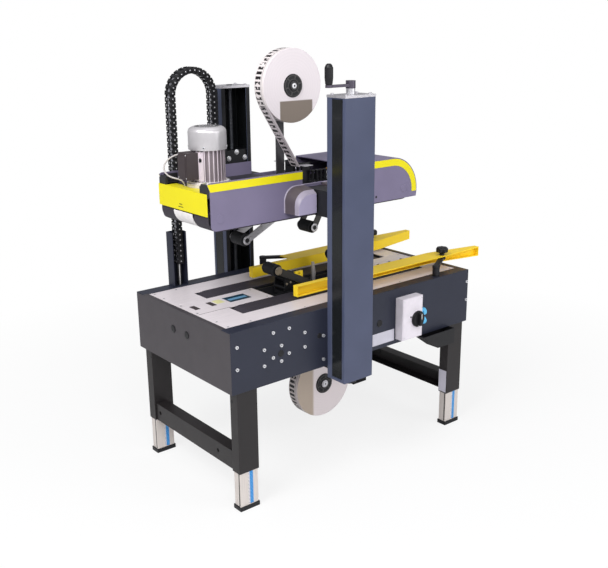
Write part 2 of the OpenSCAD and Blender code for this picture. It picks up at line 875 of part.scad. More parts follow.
module guide_shape(exit) {
  y0 = guide_y;
  slope = 0.2;
  y_end = y0 + (guide_end - guide_flare) * slope;
  x_wide = post_exit + 40;
  x_back = guide_flare + 30;
  inner = [[exit, y0], [guide_flare, y0], [guide_end, y_end]];
  web = [[guide_end, y_end + sheet], [guide_flare, y0 + sheet], [exit, y0 + sheet]];
  wide = [[guide_end, y_end + guide_narrow], [x_back, y0 + guide_wide], [x_wide, y0 + guide_wide],
    [x_wide, y0 + guide_narrow], [exit, y0 + guide_narrow]];
  narrow = [[guide_end, y_end + guide_narrow], [guide_flare, y0 + guide_narrow],
    [exit, y0 + guide_narrow]];
  difference() {
    union() {
      translate([0, 0, guide_bottom]) linear_extrude(guide_height) polygon(concat(inner, web));
      translate([0, 0, guide_top - sheet]) linear_extrude(sheet) polygon(concat(inner, wide));
      translate([0, 0, guide_bottom]) linear_extrude(sheet) polygon(concat(inner, narrow));
      block(exit, exit + sheet, y0, y0 + guide_narrow, guide_bottom, guide_top);
      block(guide_end - sheet, guide_end, y_end - 1, y_end + guide_narrow, guide_bottom, guide_top);
      rod_z(post_exit + pin_dx, guide_pin_y, arm_z, guide_top - 1, pin_r);
    }
    rod_z(post_infeed + pin_dx, guide_pin_y, 0, 1000, pin_r + fit);
  }
}

module guide_rear() {
  color("gold") placed() guide_shape(guide_exit);
}

module guide_front() {
  color("gold") placed() mirror([0, 1, 0]) guide_shape(guide_exit - guide_reach);
}

module guide_knob_shape() {
  translate([post_infeed + pin_dx, guide_pin_y, 0]) {
    translate([0, 0, arm_z]) cylinder(r = pin_r, h = 20);
    translate([0, 0, guide_top + 0.2]) cylinder(r = 9, h = 12);
    translate([0, 0, guide_top + 11]) cylinder(r = knob_r, h = 20);
  }
}

module guide_knob_rear() {
  color("black") placed() guide_knob_shape();
}

module guide_knob_front() {
  color("black") placed() mirror([0, 1, 0]) guide_knob_shape();
}

module frame_bolts() {
  color("silver") placed() both() for (b = bolts) {
    rod_y(b[0], half_w, half_w + 4, bed_height - b[1], 5.5);
  }
}

module screw(s, top) {
  rod_z(column_mid, s * screw_y, column_bottom, top, screw_r);
  rod_z(column_mid, s * screw_y, sprocket_z, sprocket_z + sprocket_h, sprocket_r);
}

module lead_screw_front() {
  color("silver") placed() screw(-1, hub_z + hub_h - 2);
}

module lead_screw_rear() {
  color("silver") placed() screw(1, column_top + 3);
}

module crank() {
  gx = column_mid - crank_length;
  color("gray") placed() difference() {
    union() {
      rod_z(column_mid, -screw_y, column_top + 1, hub_z, screw_r + 4);
      rod_z(column_mid, -screw_y, hub_z - 1, hub_z + hub_h, hub_radius);
      block(gx, column_mid, -screw_y - 8, -screw_y + 8, hub_z + 4, hub_z + 12);
      rod_z(gx, -screw_y, hub_z + 4, hub_z + 12, 11);
      rod_z(gx, -screw_y, hub_z + 4, grip_top - 8, 4);
    }
    rod_z(column_mid, -screw_y, 0, hub_z + hub_h - 2, screw_r + fit);
  }
}

module crank_grip() {
  z0 = hub_z + 12.3;
  color("black") placed() translate([column_mid - crank_length, -screw_y, 0]) rotate_extrude() polygon([
    [4 + fit, z0], [9, z0], [11, z0 + 3], [grip_r, z0 + 20], [grip_r, grip_top - 12],
    [grip_r - 4, grip_top - 3], [5, grip_top], [0, grip_top], [0, grip_top - 7], [4 + fit, grip_top - 7]]);
}

module panel_2d() {
  r = 18;
  difference() {
    union() {
      translate([head_exit + r, head_bottom]) square([nose_x - head_exit - r, head_top - head_bottom]);
      translate([head_exit, head_bottom + r]) square([r + 1, head_top - head_bottom - r]);
      translate([head_exit + r, head_bottom + r]) circle(r = r);
      polygon([[head_exit + 1, head_top - stripe - 4], [head_exit + 1, head_top],
        [head_exit - 9, head_top - 4]]);
      intersection() {
        translate([nose_x, head_top - nose_r]) circle(r = nose_r);
        translate([nose_x - 1, head_bottom]) square([nose_r + 2, 300]);
      }
    }
    translate([notch_exit, deck_top - 4]) square([notch_infeed - notch_exit, head_height]);
    translate([upper_pulley_exit, upper_pulley_z]) circle(r = shaft_r + fit);
    translate([upper_pulley_infeed, upper_pulley_z]) circle(r = shaft_r + fit);
  }
}

// Outline of the bearing housing at one depth: Y, drawn in at each side, drawn in at the top
function boss_arc(s, y, side, top) = [for (k = [0 : boss_steps])
  let(a = 90 * (s < 0 ? k : boss_steps - k) / boss_steps)
  [column_mid + s * (boss_half - side - boss_round * (1 - cos(a))), y,
    boss_top - top - boss_round * (1 - sin(a))]];

function boss_ring(y, side, top) = concat(
  [[column_mid - boss_half + side, y, boss_low]], boss_arc(-1, y, side, top),
  boss_arc(1, y, side, top), [[column_mid + boss_half - side, y, boss_low]]);

module boss_shell() {
  n = 2 * boss_steps + 4;
  points = [for (d = boss_draft) each boss_ring(d[0], d[1], d[2])];
  rings = len(boss_draft);
  sides = [for (i = [0 : rings - 2]) for (k = [0 : n - 1]) each [
    [n * i + k, n * i + n + (k + 1) % n, n * i + (k + 1) % n],
    [n * i + k, n * i + n + k, n * i + n + (k + 1) % n]]];
  back = [[for (k = [0 : n - 1]) k]];
  front = [[for (k = [0 : n - 1]) rings * n - 1 - k]];
  polyhedron(points, concat(back, sides, front));
}

module boss_2d(inset, low) {
  w = boss_half - inset;
  r = boss_round - inset;
  top = boss_top - inset;
  translate([column_mid - w, low]) square([2 * w, top - r - low]);
  translate([column_mid - w + r, low]) square([2 * (w - r), top - low]);
  for (s = [-1, 1]) translate([column_mid + s * (w - r), top - r]) circle(r = r);
}

module head_panels() {
  color("slategray") placed() both() difference() {
    union() {
      wall_y(head_half - sheet, head_half) panel_2d();
      difference() {
        boss_shell();
        wall_y(head_half, boss_face - boss_rim - boss_wall) boss_2d(boss_wall + 8, head_bottom - 1);
      }
    }
    block(column_mid - 38.5, column_mid + 38.5, head_half, boss_face + 1, head_bottom - 1, boss_top + 1);
  }
}

module head_chassis() {
  w = head_half - sheet - seam;
  color("dimgray") placed() {
    difference() {
      union() {
        block(head_face, notch_exit, -w, w, deck_top - 3, deck_top);
        block(upper_pulley_exit - 27, upper_pulley_exit + 99, -50, 50, head_bottom + 10, deck_top - 2);
        both() block(head_face, head_exit - 1, 100, w, deck_top - 1, head_top - 6);
        rod_z(motor_x, 0, deck_top - 1, deck_top + seat_h, flange_r);
      }
      rod_y(upper_pulley_exit, -100, 100, upper_pulley_z, shaft_r + fit);
      both() translate([head_face, 100, head_top - 12]) rotate([0, -55, 0]) translate([0, -1, -2])
        cube([30, 100, 30]);
      rod_z(lead_end[0], lead_end[1], 0, 2 * head_top, lead_r + 0.3);
    }
    wall_y(-w, w) difference() {
      union() {
        translate([notch_infeed, head_top - 3]) square([nose_x - notch_infeed, 3]);
        intersection() {
          translate([nose_x, head_top - nose_r]) circle(r = nose_r);
          translate([nose_x - 1, head_bottom + 12]) square([nose_r + 2, 300]);
        }
      }
      translate([nose_x, head_top - nose_r]) circle(r = nose_r - 3);
    }
    for (x = ties) rod_y(x, -w, w, tie_z, 7);
  }
}

module stripe_2d() {
  difference() {
    union() {
      polygon([[head_exit + 1, head_top - stripe - 4], [notch_exit, head_top - stripe - 4],
        [notch_exit, head_top - 4], [head_exit - 9, head_top - 4]]);
      translate([notch_infeed, head_top - stripe - 4]) square([nose_x - notch_infeed + 1, stripe]);
      intersection() {
        translate([nose_x, head_top - nose_r]) circle(r = nose_r - 4);
        translate([nose_x, head_bottom + 20]) square([nose_r + 2, 300]);
      }
    }
    translate([nose_x, head_top - nose_r - 2]) circle(r = nose_r - stripe - 2);
  }
}

module head_trim() {
  x0 = head_face - face_sheet;
  x1 = motor_x - motor_r - 8;
  color("gold") placed() {
    both() wall_y(head_half, head_half + 1) stripe_2d();
    difference() {
      union() {
        block(x0, head_face - seam, 2 - head_half, head_half - 2, tie_z, deck_top + 10);
        block(x0, x1, -98, 98, deck_top + 7, deck_top + 10);
      }
      rod_z(lead_end[0], lead_end[1], 0, 2 * head_top, lead_r + 3.5);
      rod_z(motor_x, 0, 0, 2 * head_top, flange_r + 1);
    }
  }
}

module upper_skids() {
  z = head_bottom - 4;
  r = 48;
  w = upper_belt_y - 2;
  x0 = head_face - face_sheet;
  x1 = upper_pulley_infeed + 20;
  stay = upper_pulley_exit + 25;
  color("whitesmoke") placed() {
    wall_y(-w, w) {
      translate([x0 + r, z]) square([166 - r, 3]);
      intersection() {
        translate([x0 + r, z + r]) difference() {
          circle(r = r);
          circle(r = r - 3);
        }
        translate([x0 - 9, z - 1]) square([9 + r, r + 1]);
      }
      translate([stay, z + 1]) square([12, head_bottom + 10 - z - 1 - seam]);
    }
    wall_y(-w, w) {
      translate([x1 - 240, z]) square([240 - r, 3]);
      intersection() {
        translate([x1 - r, z + r]) difference() {
          circle(r = r);
          circle(r = r - 3);
        }
        translate([x1 - r, z - 1]) square([r + 9, r + 1]);
      }
      translate([ties[2] - 6, z + 1]) square([12, tie_z - 7 - seam - z - 1]);
    }
  }
}

module upper_belts() {
  color("dimgray") placed()
    belt_pair(upper_belt_y, upper_pulley_exit, upper_pulley_infeed, upper_pulley_z);
}

module upper_drive_roller() {
  color("gray") placed()
    belt_roller(upper_pulley_exit, upper_pulley_z, upper_belt_y, pulley_r - 0.3, -head_half, head_half);
}

module upper_idler_roller() {
  color("gray") placed()
    belt_roller(upper_pulley_infeed, upper_pulley_z, upper_belt_y, pulley_r - 0.3, -head_half, head_half);
}

module carriages() {
  z0 = head_bottom + 10;
  z1 = boss_top - 8;
  y0 = head_half + seam;
  y1 = half_w + column_wall + 3;
  y2 = half_w + column_y - column_wall - 7;
  x = chain_x + chain_span;
  color("dimgray") placed() {
    both() difference() {
      union() {
        difference() {
          block(column_mid - carriage_half, column_mid + carriage_half, y0, y1 + 12, z0, z1);
          block(column_mid - carriage_half + 5, column_mid + carriage_half - 5, y0 + 5.8, y1 - 3,
            z0 + 5, z1 - 5);
        }
        block(column_mid - 54, column_mid + 54, y1, y2, head_bottom, head_top + 20);
      }
      rod_z(column_mid, screw_y, 0, 2 * column_top, screw_r + fit);
    }
    block(x - 18, x + 18, y0, chain_y + chain_width, chain_end_z - 5, chain_end_z - seam);
    block(x - 18, x + 18, y0 + 1, y0 + 4.8, boss_top + 2, chain_end_z - 1);
  }
}

module motor() {
  z0 = deck_top + seat_h + seam;
  bolt = (flange_r - 8) * cos(45);
  color("silver") placed() translate([motor_x, 0, 0]) difference() {
    union() {
      translate([0, 0, z0]) cylinder(r = flange_r, h = flange_h - flange_step);
      translate([0, 0, z0]) cylinder(r = flange_r - flange_step, h = flange_h);
      translate([0, 0, z0]) cylinder(r = motor_r - 8, h = cowl_z - z0);
      for (i = [0 : fins - 1]) rotate([0, 0, i * 360 / fins]) translate([0, -1.5, z0])
        cube([motor_r, 3, cowl_z - z0]);
      rotate([0, 0, 180]) translate([0, -pad_half, deck_top + pad_z])
        cube([motor_r - 1, 2 * pad_half, cowl_z - deck_top - pad_z - 5]);
    }
    for (x = [-bolt, bolt]) {
      for (y = [-bolt, bolt]) translate([x, y, z0 + 10]) cylinder(r = 6.5, h = flange_h);
    }
  }
}

module motor_cowl() {
  r = cowl_r;
  z = cowl_top;
  color("gray") placed() translate([motor_x, 0, 0]) rotate_extrude() polygon([
    [motor_r - 4, cowl_z + seam], [r, cowl_z + seam], [r, z - 17], [r - 1, z - 12], [r - 4, z - 7],
    [r - 8, z - 3.5], [r - 13, z - 1.2], [r - 19, z], [0, z], [0, z - 3], [r - 19.5, z - 3],
    [r - 10, z - 7], [r - 4, z - 14], [r - 3, z - 18], [r - 3, cowl_z + 3], [motor_r - 4, cowl_z + 3]]);
}

module terminal_box() {
  color("black") placed() difference() {
    block(motor_x - motor_r - 41, motor_x - motor_r - seam, -pad_half - 1, pad_half + 1,
      deck_top + pad_z + 7, cowl_z - 5);
    rod_y(lead[0][0], 0, pad_half + 2, lead[0][2], lead_r + 0.8);
  }
}

function lead_dir(i) = let(a = lead[max(i - 1, 0)], b = lead[min(i + 1, len(lead) - 1)])
  (b - a) / norm(b - a);

function lead_ring(i) = let(t = lead_dir(i), u0 = cross(t, [1, 0, 0.3]))
  let(u = u0 / norm(u0), v = cross(t, u))
  [for (k = [0 : 7]) lead[i] + lead_r * (cos(45 * k) * u + sin(45 * k) * v)];

module motor_lead() {
  n = len(lead);
  points = [for (i = [0 : n - 1]) each lead_ring(i)];
  sides = [for (i = [0 : n - 2]) for (k = [0 : 7]) each [
    [8 * i + k, 8 * i + 8 + k, 8 * i + 8 + (k + 1) % 8],
    [8 * i + k, 8 * i + 8 + (k + 1) % 8, 8 * i + (k + 1) % 8]]];
  start = [[for (k = [0 : 7]) k]];
  end = [[for (k = [0 : 7]) 8 * n - 1 - k]];
  color("white") placed() polyhedron(points, concat(start, sides, end));
}

inner_legs();
leg_frames();
side_panels();
end_panels();
bed_plates();
columns();
sync_chain();
chain_channel();
chain_fixed_run();
chain_arch();
chain_moving_run();
lower_belts();
belt_beds();
lower_motor();
lower_tape_frame();
lower_roll_bracket();
lower_tape_web();
control_box();
guide_posts();
frame_bolts();
lead_screw_front();
lead_screw_rear();
crank();
crank_grip();
lower_drive_roller();
lower_idler_roller();
lower_apply_arm();
lower_apply_roller();
lower_wipe_arm();
lower_wipe_roller();
lower_tape_roll();
switch_knob();
guide_front();
guide_rear();
guide_arm_front_exit();
guide_arm_front_infeed();
guide_arm_rear_exit();
guide_arm_rear_infeed();
guide_knob_front();
guide_knob_rear();
head_chassis();
head_panels();
head_trim();
upper_skids();
upper_belts();
carriages();
motor();
motor_cowl();
terminal_box();
motor_lead();
upper_tape_frame();
roll_post();
upper_tape_web();
upper_drive_roller();
upper_idler_roller();
upper_apply_arm();
upper_apply_roller();
upper_wipe_arm();
upper_wipe_roller();
upper_tape_roll();
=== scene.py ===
import math

import bmesh
import bpy
from mathutils import Matrix, Vector


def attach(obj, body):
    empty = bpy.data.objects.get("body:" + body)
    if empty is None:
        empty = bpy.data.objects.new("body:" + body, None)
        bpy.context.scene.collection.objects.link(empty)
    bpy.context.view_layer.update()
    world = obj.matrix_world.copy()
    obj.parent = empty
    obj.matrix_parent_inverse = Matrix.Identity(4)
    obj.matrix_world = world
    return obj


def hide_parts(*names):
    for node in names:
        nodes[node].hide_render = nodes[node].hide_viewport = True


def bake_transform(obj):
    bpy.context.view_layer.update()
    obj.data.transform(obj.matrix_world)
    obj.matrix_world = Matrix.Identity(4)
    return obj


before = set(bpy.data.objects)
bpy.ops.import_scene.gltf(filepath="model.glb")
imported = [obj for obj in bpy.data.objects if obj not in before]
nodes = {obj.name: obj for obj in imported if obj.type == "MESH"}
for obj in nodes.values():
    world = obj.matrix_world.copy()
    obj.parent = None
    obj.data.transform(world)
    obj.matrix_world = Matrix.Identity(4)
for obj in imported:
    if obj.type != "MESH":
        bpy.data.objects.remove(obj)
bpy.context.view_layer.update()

# Bed coordinates are in millimetres from the middle of the bed; the part's frame is shifted along X.
SHIFT_X = -80.0
COLUMN_X = -96.5
COLUMN_Y = 324.0
MOTOR_X = -408.0
PLATE_SINK = 608.9
SWITCH_X, SWITCH_Z = 228, 498
UPPER_ROLL_X, UPPER_ROLL_Z = -82, 1301
LOWER_ROLL_X, LOWER_ROLL_Z = 48, 205


def at(x, y, z):
    return Vector(((x + SHIFT_X) / 1000, y / 1000, z / 1000))


def linear(code):
    out = []
    for i in (0, 2, 4):
        c = int(code[i : i + 2], 16) / 255
        out.append(c / 12.92 if c <= 0.04045 else ((c + 0.055) / 1.055) ** 2.4)
    return out


def shade(rgb, factor):
    return [min(1.0, c * factor) for c in rgb] + [1.0]


# Materials
class Finish:
    """A node material that is built up from noise, stretched grain and fine relief."""

    def __init__(self, name, code, rough=0.5, metal=0.0):
        self.material = bpy.data.materials.new(name)
        self.material.use_nodes = True
        self.tree = self.material.node_tree
        self.shader = self.tree.nodes["Principled BSDF"]
        self.rgb = linear(code)
        self.material.diffuse_color = self.rgb + [1.0]
        self.shader.inputs["Metallic"].default_value = metal
        self.shader.inputs["Roughness"].default_value = rough
        self.shader.inputs["Specular IOR Level"].default_value = 0.3
        self.coord = self.tree.nodes.new("ShaderNodeTexCoord")
        self.rough = rough
        self.relief = None

    def node(self, kind, **values):
        made = self.tree.nodes.new(kind)
        for key, value in values.items():
            made.inputs[key].default_value = value
        return made

    def link(self, a, b):
        self.tree.links.new(a, b)

    def noise(self, scale, detail=4.0, stretch=(1, 1, 1)):
        mapping = self.node("ShaderNodeMapping")
        mapping.inputs["Scale"].default_value = stretch
        self.link(self.coord.outputs["Object"], mapping.inputs["Vector"])
        noise = self.node("ShaderNodeTexNoise", Scale=scale, Detail=detail)
        self.link(mapping.outputs["Vector"], noise.inputs["Vector"])
        return noise.outputs[0]

    def ramp(self, source, stops):
        ramp = self.node("ShaderNodeValToRGB")
        elements = ramp.color_ramp.elements
        while len(elements) < len(stops):
            elements.new(0.5)
        for element, (place, colour) in zip(elements, stops):
            element.position = place
            element.color = colour
        self.link(source, ramp.inputs["Fac"])
        return ramp.outputs["Color"]

    def tone(self, scale=14.0, spread=0.08, stretch=(1, 1, 1)):
        source = self.noise(scale, 5.0, stretch)
        stops = [(0.3, shade(self.rgb, 1 - spread)), (0.7, shade(self.rgb, 1 + spread))]
        self.link(self.ramp(source, stops), self.shader.inputs["Base Color"])
        return self

    def sheen(self, scale=30.0, spread=0.08, stretch=(1, 1, 1)):
        spread_map = self.node("ShaderNodeMapRange")
        spread_map.inputs["To Min"].default_value = max(0.03, self.rough - spread)
        spread_map.inputs["To Max"].default_value = min(1.0, self.rough + spread)
        self.link(self.noise(scale, 4.0, stretch), spread_map.inputs["Value"])
        self.link(spread_map.outputs[0], self.shader.inputs["Roughness"])
        return self

    def bump(self, source, strength=0.1, distance=0.0005):
        bump = self.node("ShaderNodeBump", Strength=strength, Distance=distance)
        self.link(source, bump.inputs["Height"])
        if self.relief is not None:
            self.link(self.relief, bump.inputs["Normal"])
        self.relief = bump.outputs["Normal"]
        self.link(self.relief, self.shader.inputs["Normal"])
        return self

    def grain(self, scale=900.0, strength=0.08, distance=0.0004, stretch=(1, 1, 1)):
        return self.bump(self.noise(scale, 2.0, stretch), strength, distance)

    def parts(self, source=None):
        """X, Y and Z of a vector, by default of the object's own coordinates."""
        split = self.node("ShaderNodeSeparateXYZ")
        self.link(self.coord.outputs["Object"] if source is None else source, split.inputs["Vector"])
        return split.outputs

    def polar(self, centre):
        """Radius and angle about an axis along Y through a point, and the parts of the way from it."""
        shift = self.node("ShaderNodeVectorMath")
        shift.operation = "SUBTRACT"
        shift.inputs[1].default_value = centre
        self.link(self.coord.outputs["Object"], shift.inputs[0])
        parts = self.parts(shift.outputs["Vector"])
        flat = self.node("ShaderNodeCombineXYZ")
        self.link(parts["X"], flat.inputs["X"])
        self.link(parts["Z"], flat.inputs["Y"])
        length = self.node("ShaderNodeVectorMath")
        length.operation = "LENGTH"
        self.link(flat.outputs["Vector"], length.inputs[0])
        angle = self.node("ShaderNodeMath")
        angle.operation = "ARCTAN2"
        self.link(parts["Z"], angle.inputs[0])
        self.link(parts["X"], angle.inputs[1])
        return length.outputs["Value"], angle.outputs[0], parts

    def step(self, source, start, end):
        """Rises from nought to one between two values; falls when they are given the other way round."""
        ease = self.node("ShaderNodeMapRange")
        ease.inputs["From Min"].default_value = start
        ease.inputs["From Max"].default_value = end
        self.link(source, ease.inputs["Value"])
        return ease.outputs[0]

    def product(self, first, *others):
        for other in others:
            times = self.node("ShaderNodeMath")
            times.operation = "MULTIPLY"
            self.link(first, times.inputs[0])
            self.link(other, times.inputs[1])
            first = times.outputs[0]
        return first

    def blend(self, factor, first, second):
        """Goes from one colour to another; either may be a socket or a plain colour."""
        mix = self.node("ShaderNodeMix")
        mix.data_type = "RGBA"
        self.link(factor, mix.inputs[0])
        for slot, colour in ((6, first), (7, second)):
            if isinstance(colour, list):
                mix.inputs[slot].default_value = colour
            else:
                self.link(colour, mix.inputs[slot])
        return mix.outputs[2]

    def waves(self, source, rate):
        scaled = self.node("ShaderNodeMath")
        scaled.operation = "MULTIPLY"
        scaled.inputs[1].default_value = rate
        self.link(source, scaled.inputs[0])
        sine = self.node("ShaderNodeMath")
        sine.operation = "SINE"
        self.link(scaled.outputs[0], sine.inputs[0])
        half = self.node("ShaderNodeMapRange")
        half.inputs["From Min"].default_value = -1.0
        self.link(sine.outputs[0], half.inputs["Value"])
        return half.outputs[0]


def paint(name, code, rough=0.42, peel=0.06, spread=0.06):
    made = Finish(name, code, rough).tone(9.0, spread).sheen(24.0, 0.07)
    return made.grain(700.0, peel, 0.0005).material


def metal(name, code, rough=0.34, stretch=(1, 1, 1), strength=0.06, level=0.85):
    made = Finish(name, code, rough, level).tone(20.0, 0.07, stretch)
    return made.sheen(60.0, 0.1, stretch).grain(420.0, strength, 0.0004, stretch).material


def plastic(name, code, rough=0.45, strength=0.05):
    made = Finish(name, code, rough).tone(40.0, 0.05).sheen(50.0, 0.06)
    return made.grain(1300.0, strength, 0.0003).material


def rubber(name, code, rough=0.7, stretch=(1, 1, 1)):
    made = Finish(name, code, rough).tone(26.0, 0.14, stretch).sheen(40.0, 0.1)
    return made.grain(800.0, 0.22, 0.0006, stretch).material


def film(name, code, shadow_colour, centre, edges):
    """Wound tape: faint rings on the sides and a plain darker part that is painted shadow, bounded by edges
    across X or Z.
    """
    made = Finish(name, code, 0.4)
    length, _, parts = made.polar(centre)
    broad = made.waves(length, 640.0)
    pale = made.ramp(broad, [(0.0, shade(made.rgb, 0.985)), (1.0, shade(made.rgb, 1.01))])
    bounds = [made.step(parts[axis], start, end) for axis, start, end in edges]
    colour = made.blend(made.product(*bounds), pale, linear(shadow_colour) + [1.0])
    made.link(colour, made.shader.inputs["Base Color"])
    return made.sheen(60.0, 0.07).bump(made.waves(length, 5200.0), 0.1, 0.0003).material


def printed_film(name, code, ink, rate, centre=None):
    """Tape seen flat: uneven plain dashes over the rear part of its width and a thin line beside them."""
    made = Finish(name, code, 0.3)
    if centre is None:
        parts = made.parts()
        along = parts["Z"]
    else:
        _, along, parts = made.polar(centre)
    across = parts["Y"]
    dashes = made.step(made.waves(along, rate), 0.3, 0.38)
    breaks = made.step(made.noise(80.0, 1.0), 0.38, 0.42)
    rows = made.product(dashes, breaks, made.step(across, -0.008, -0.006), made.step(across, 0.022, 0.02))
    line = made.product(made.step(across, -0.0135, -0.0125), made.step(across, -0.0105, -0.0115))
    dark = linear(ink) + [1.0]
    colour = made.blend(line, made.blend(rows, made.rgb + [1.0], dark), shade(made.rgb, 0.35))
    made.link(colour, made.shader.inputs["Base Color"])
    return made.sheen(60.0, 0.08).grain(300.0, 0.05, 0.0003).material


def thread(name, code):
    made = Finish(name, code, 0.3, 0.9).tone(30.0, 0.06).sheen(60.0, 0.08)
    return made.bump(made.waves(made.parts()["Z"], 1256.0), 0.7, 0.002).material


def ruled(name, code, ink):
    """A scale strip: short plain ticks along Z."""
    made = Finish(name, code, 0.4)
    ticks = made.waves(made.parts()["Z"], 1256.6)
    stops = [(0.72, shade(made.rgb, 1.0)), (0.8, linear(ink) + [1.0])]
    made.link(made.ramp(ticks, stops), made.shader.inputs["Base Color"])
    return made.sheen(80.0, 0.06).grain(900.0, 0.04, 0.0003).material


def ribbed(name, code):
    """Roller rubber with fine grooves round it."""
    made = Finish(name, code, 0.6).tone(60.0, 0.15).sheen(50.0, 0.1)
    return made.bump(made.waves(made.parts()["Y"], 2100.0), 0.35, 0.0006).material


UPPER_ROLL = at(UPPER_ROLL_X, 0, UPPER_ROLL_Z)
LOWER_ROLL = at(LOWER_ROLL_X, 0, LOWER_ROLL_Z)
FINISHES = {
    "bed": paint("bed_graphite", "272a38", 0.4),
    # A lighter copy of the bed paint for the end panels: painted light.
    "bed_end": paint("bed_graphite_lit_end", "413d41", 0.42),
    "leg": paint("leg_graphite", "262324", 0.42),
    "column": paint("column_graphite", "474d64", 0.34),
    # Black of the side inlays; it is also painted shade inside the columns.
    "strip": plastic("column_inlay_and_inner_shade", "191b1d", 0.22, 0.03),
    "head": paint("head_grey", "756e88", 0.4),
    "boss": paint("boss_grey", "b1a9c6", 0.42),
    # Dark copy of the head paint on the boss cheeks: painted shade; light copy on its rounded rim: painted
    # highlight.
    "boss_cheek_shade": paint("boss_cheek_shade", "50484e", 0.4),
    "boss_rim": paint("boss_rim", "9790a0", 0.38),
    "chassis": paint("chassis_black", "2c2c2f", 0.45),
    "yellow": paint("guide_yellow", "ffd92e", 0.38, 0.04, 0.03),
    "lemon": paint("signal_yellow", "e2d514", 0.38, 0.04, 0.02),
    "plate": metal("bed_plate_steel", "e0d8dc", 0.38, (1, 26, 26), 0.05, 0.1),
    "steel": metal("ground_steel", "c9c7cc", 0.3, (1, 8, 8), 0.06, 0.7),
    "leg_steel": metal("leg_aluminium", "d3cbc6", 0.32, (22, 22, 1), 0.04, 0.3),
    "bolt": metal("zinc_bolt", "d6d6da", 0.3, (1, 1, 1), 0.08, 0.6),
    "dark": metal("black_steel", "242428", 0.45, (1, 1, 1), 0.08, 0.3),
    # A darkened steel: painted shade on the taping arms; the roll hubs use it too.
    "arm": metal("grey_steel_shaded", "4b4a4a", 0.4, (1, 1, 1), 0.08, 0.5),
    "taupe": metal("cap_bronze", "8f8474", 0.42, (1, 1, 1), 0.12, 0.4),
    "belt": rubber("belt_rubber", "38343c", 0.6, (1, 14, 14)),
    "roller": ribbed("roller_rubber", "232427"),
    "motor": metal("cast_aluminium", "ded2da", 0.42, (1, 1, 1), 0.12, 0.3),
    "flange": metal("flange_aluminium", "dcd5d2", 0.5, (1, 1, 1), 0.15, 0.1),
    "cable": plastic("cable_grey_and_glint", "8f8f96", 0.4),
    # Darker copy of the motor metal between the fins: painted shade.
    "fin_gap_shade": metal("fin_gap_shade", "9a8f95", 0.5, (1, 1, 1), 0.12, 0.25),
    "cowl": metal("cowl_silver", "c9c6c9", 0.36, (1, 1, 1), 0.02, 0.5),
    "carriage": metal("dark_aluminium", "232427", 0.42, (1, 1, 1), 0.1, 0.3),
    "box": plastic("box_white", "dcd6de", 0.45),
    "black": plastic("black_plastic", "19191c", 0.42),
    "brown": plastic("terminal_black", "3e3638", 0.5, 0.12),
    "skid": plastic("skid_white", "e4e0e0", 0.35),
    "white": plastic("cable_white", "ecece8", 0.4),
    "lead": plastic("lead_grey", "bdb7b5", 0.4),
    "blank": plastic("blank_plate", "c3c1cd", 0.36, 0.03),
    "crank": metal("crank_steel", "57525e", 0.36, (1, 1, 1), 0.06, 0.5),
    "post": metal("post_grey", "414043", 0.42, (1, 1, 14), 0.05, 0.3),
    "blue": plastic("inlet_blue", "5fb4e0", 0.4),
    "label": plastic("label_dark", "1d3a4c", 0.3, 0.03),
    "cyan": plastic("label_cyan", "6b9bbd", 0.35, 0.03),
    "pale": plastic("label_pale", "d9d69e", 0.4, 0.03),
    "brass": metal("brass", "c08a3a", 0.32, (1, 1, 1), 0.06, 0.85),
    # The lead screws' thread is a darkened steel: painted shade inside the columns.
    "thread": thread("screw_thread_shaded", "54565c"),
    "tick": ruled("scale_ticks", "e9e2df", "4a5a80"),
    "scale_blue": ruled("scale_blue", "0f74c2", "6fb4e4"),
    # The taupe parts of the roll sides are painted shadow.
    "upper_film": film("upper_film", "dbd3d7", "796e65", UPPER_ROLL, [
        ("X", -0.056, -0.053), ("X", 0.085, 0.082), ("Z", -0.047, -0.05)]),
    "lower_film": film("lower_film", "e6dcde", "b5a698", LOWER_ROLL, [("X", -0.046, -0.056)]),
    "upper_rim": printed_film("upper_rim", "e0d8d8", "1d1b1e", 46.0, UPPER_ROLL),
    "lower_rim": printed_film("lower_rim", "d6cccb", "1d1b1e", 46.0, LOWER_ROLL),
    "web": printed_film("tape_web", "dcd2d6", "1d1b1e", 420.0),
}

# Finish of each solid; a rule may send some faces to another finish.
LOOK = {
    "inner_legs": "leg_steel",
    "leg_frames": "leg",
    "side_panels": "bed",
    "end_panels": "bed_end",
    "bed_plates": "plate",
    "columns": "column",
    "sync_chain": "dark",
    "chain_channel": "bed",
    "chain_fixed_run": "black",
    "chain_arch": "black",
    "chain_moving_run": "black",
    "lower_belts": "belt",
    "belt_beds": "dark",
    "lower_motor": "motor",
    "lower_tape_frame": "dark",
    "lower_roll_bracket": "steel",
    "lower_tape_web": "web",
    "control_box": "box",
    "guide_posts": "dark",
    "frame_bolts": "bolt",
    "lead_screw_front": "thread",
    "lead_screw_rear": "thread",
    "crank": "crank",
    "crank_grip": "black",
    "lower_drive_roller": "dark",
    "lower_idler_roller": "dark",
    "lower_apply_arm": "arm",
    "lower_apply_roller": "roller",
    "lower_wipe_arm": "arm",
    "lower_wipe_roller": "roller",
    "lower_tape_roll": "lower_film",
    "switch_knob": "black",
    "guide_front": "yellow",
    "guide_rear": "yellow",
    "guide_arm_front_exit": "dark",
    "guide_arm_front_infeed": "dark",
    "guide_arm_rear_exit": "dark",
    "guide_arm_rear_infeed": "dark",
    "guide_knob_front": "black",
    "guide_knob_rear": "black",
    "head_chassis": "chassis",
    "head_panels": "head",
    "head_trim": "lemon",
    "upper_skids": "skid",
    "upper_belts": "belt",
    "carriages": "carriage",
    "motor": "motor",
    "motor_cowl": "cowl",
    "terminal_box": "brown",
    "motor_lead": "lead",
    "upper_tape_frame": "dark",
    "roll_post": "post",
    "upper_tape_web": "web",
    "upper_drive_roller": "dark",
    "upper_idler_roller": "dark",
    "upper_apply_arm": "arm",
    "upper_apply_roller": "roller",
    "upper_wipe_arm": "steel",
    "upper_wipe_roller": "roller",
    "upper_tape_roll": "upper_film",
}


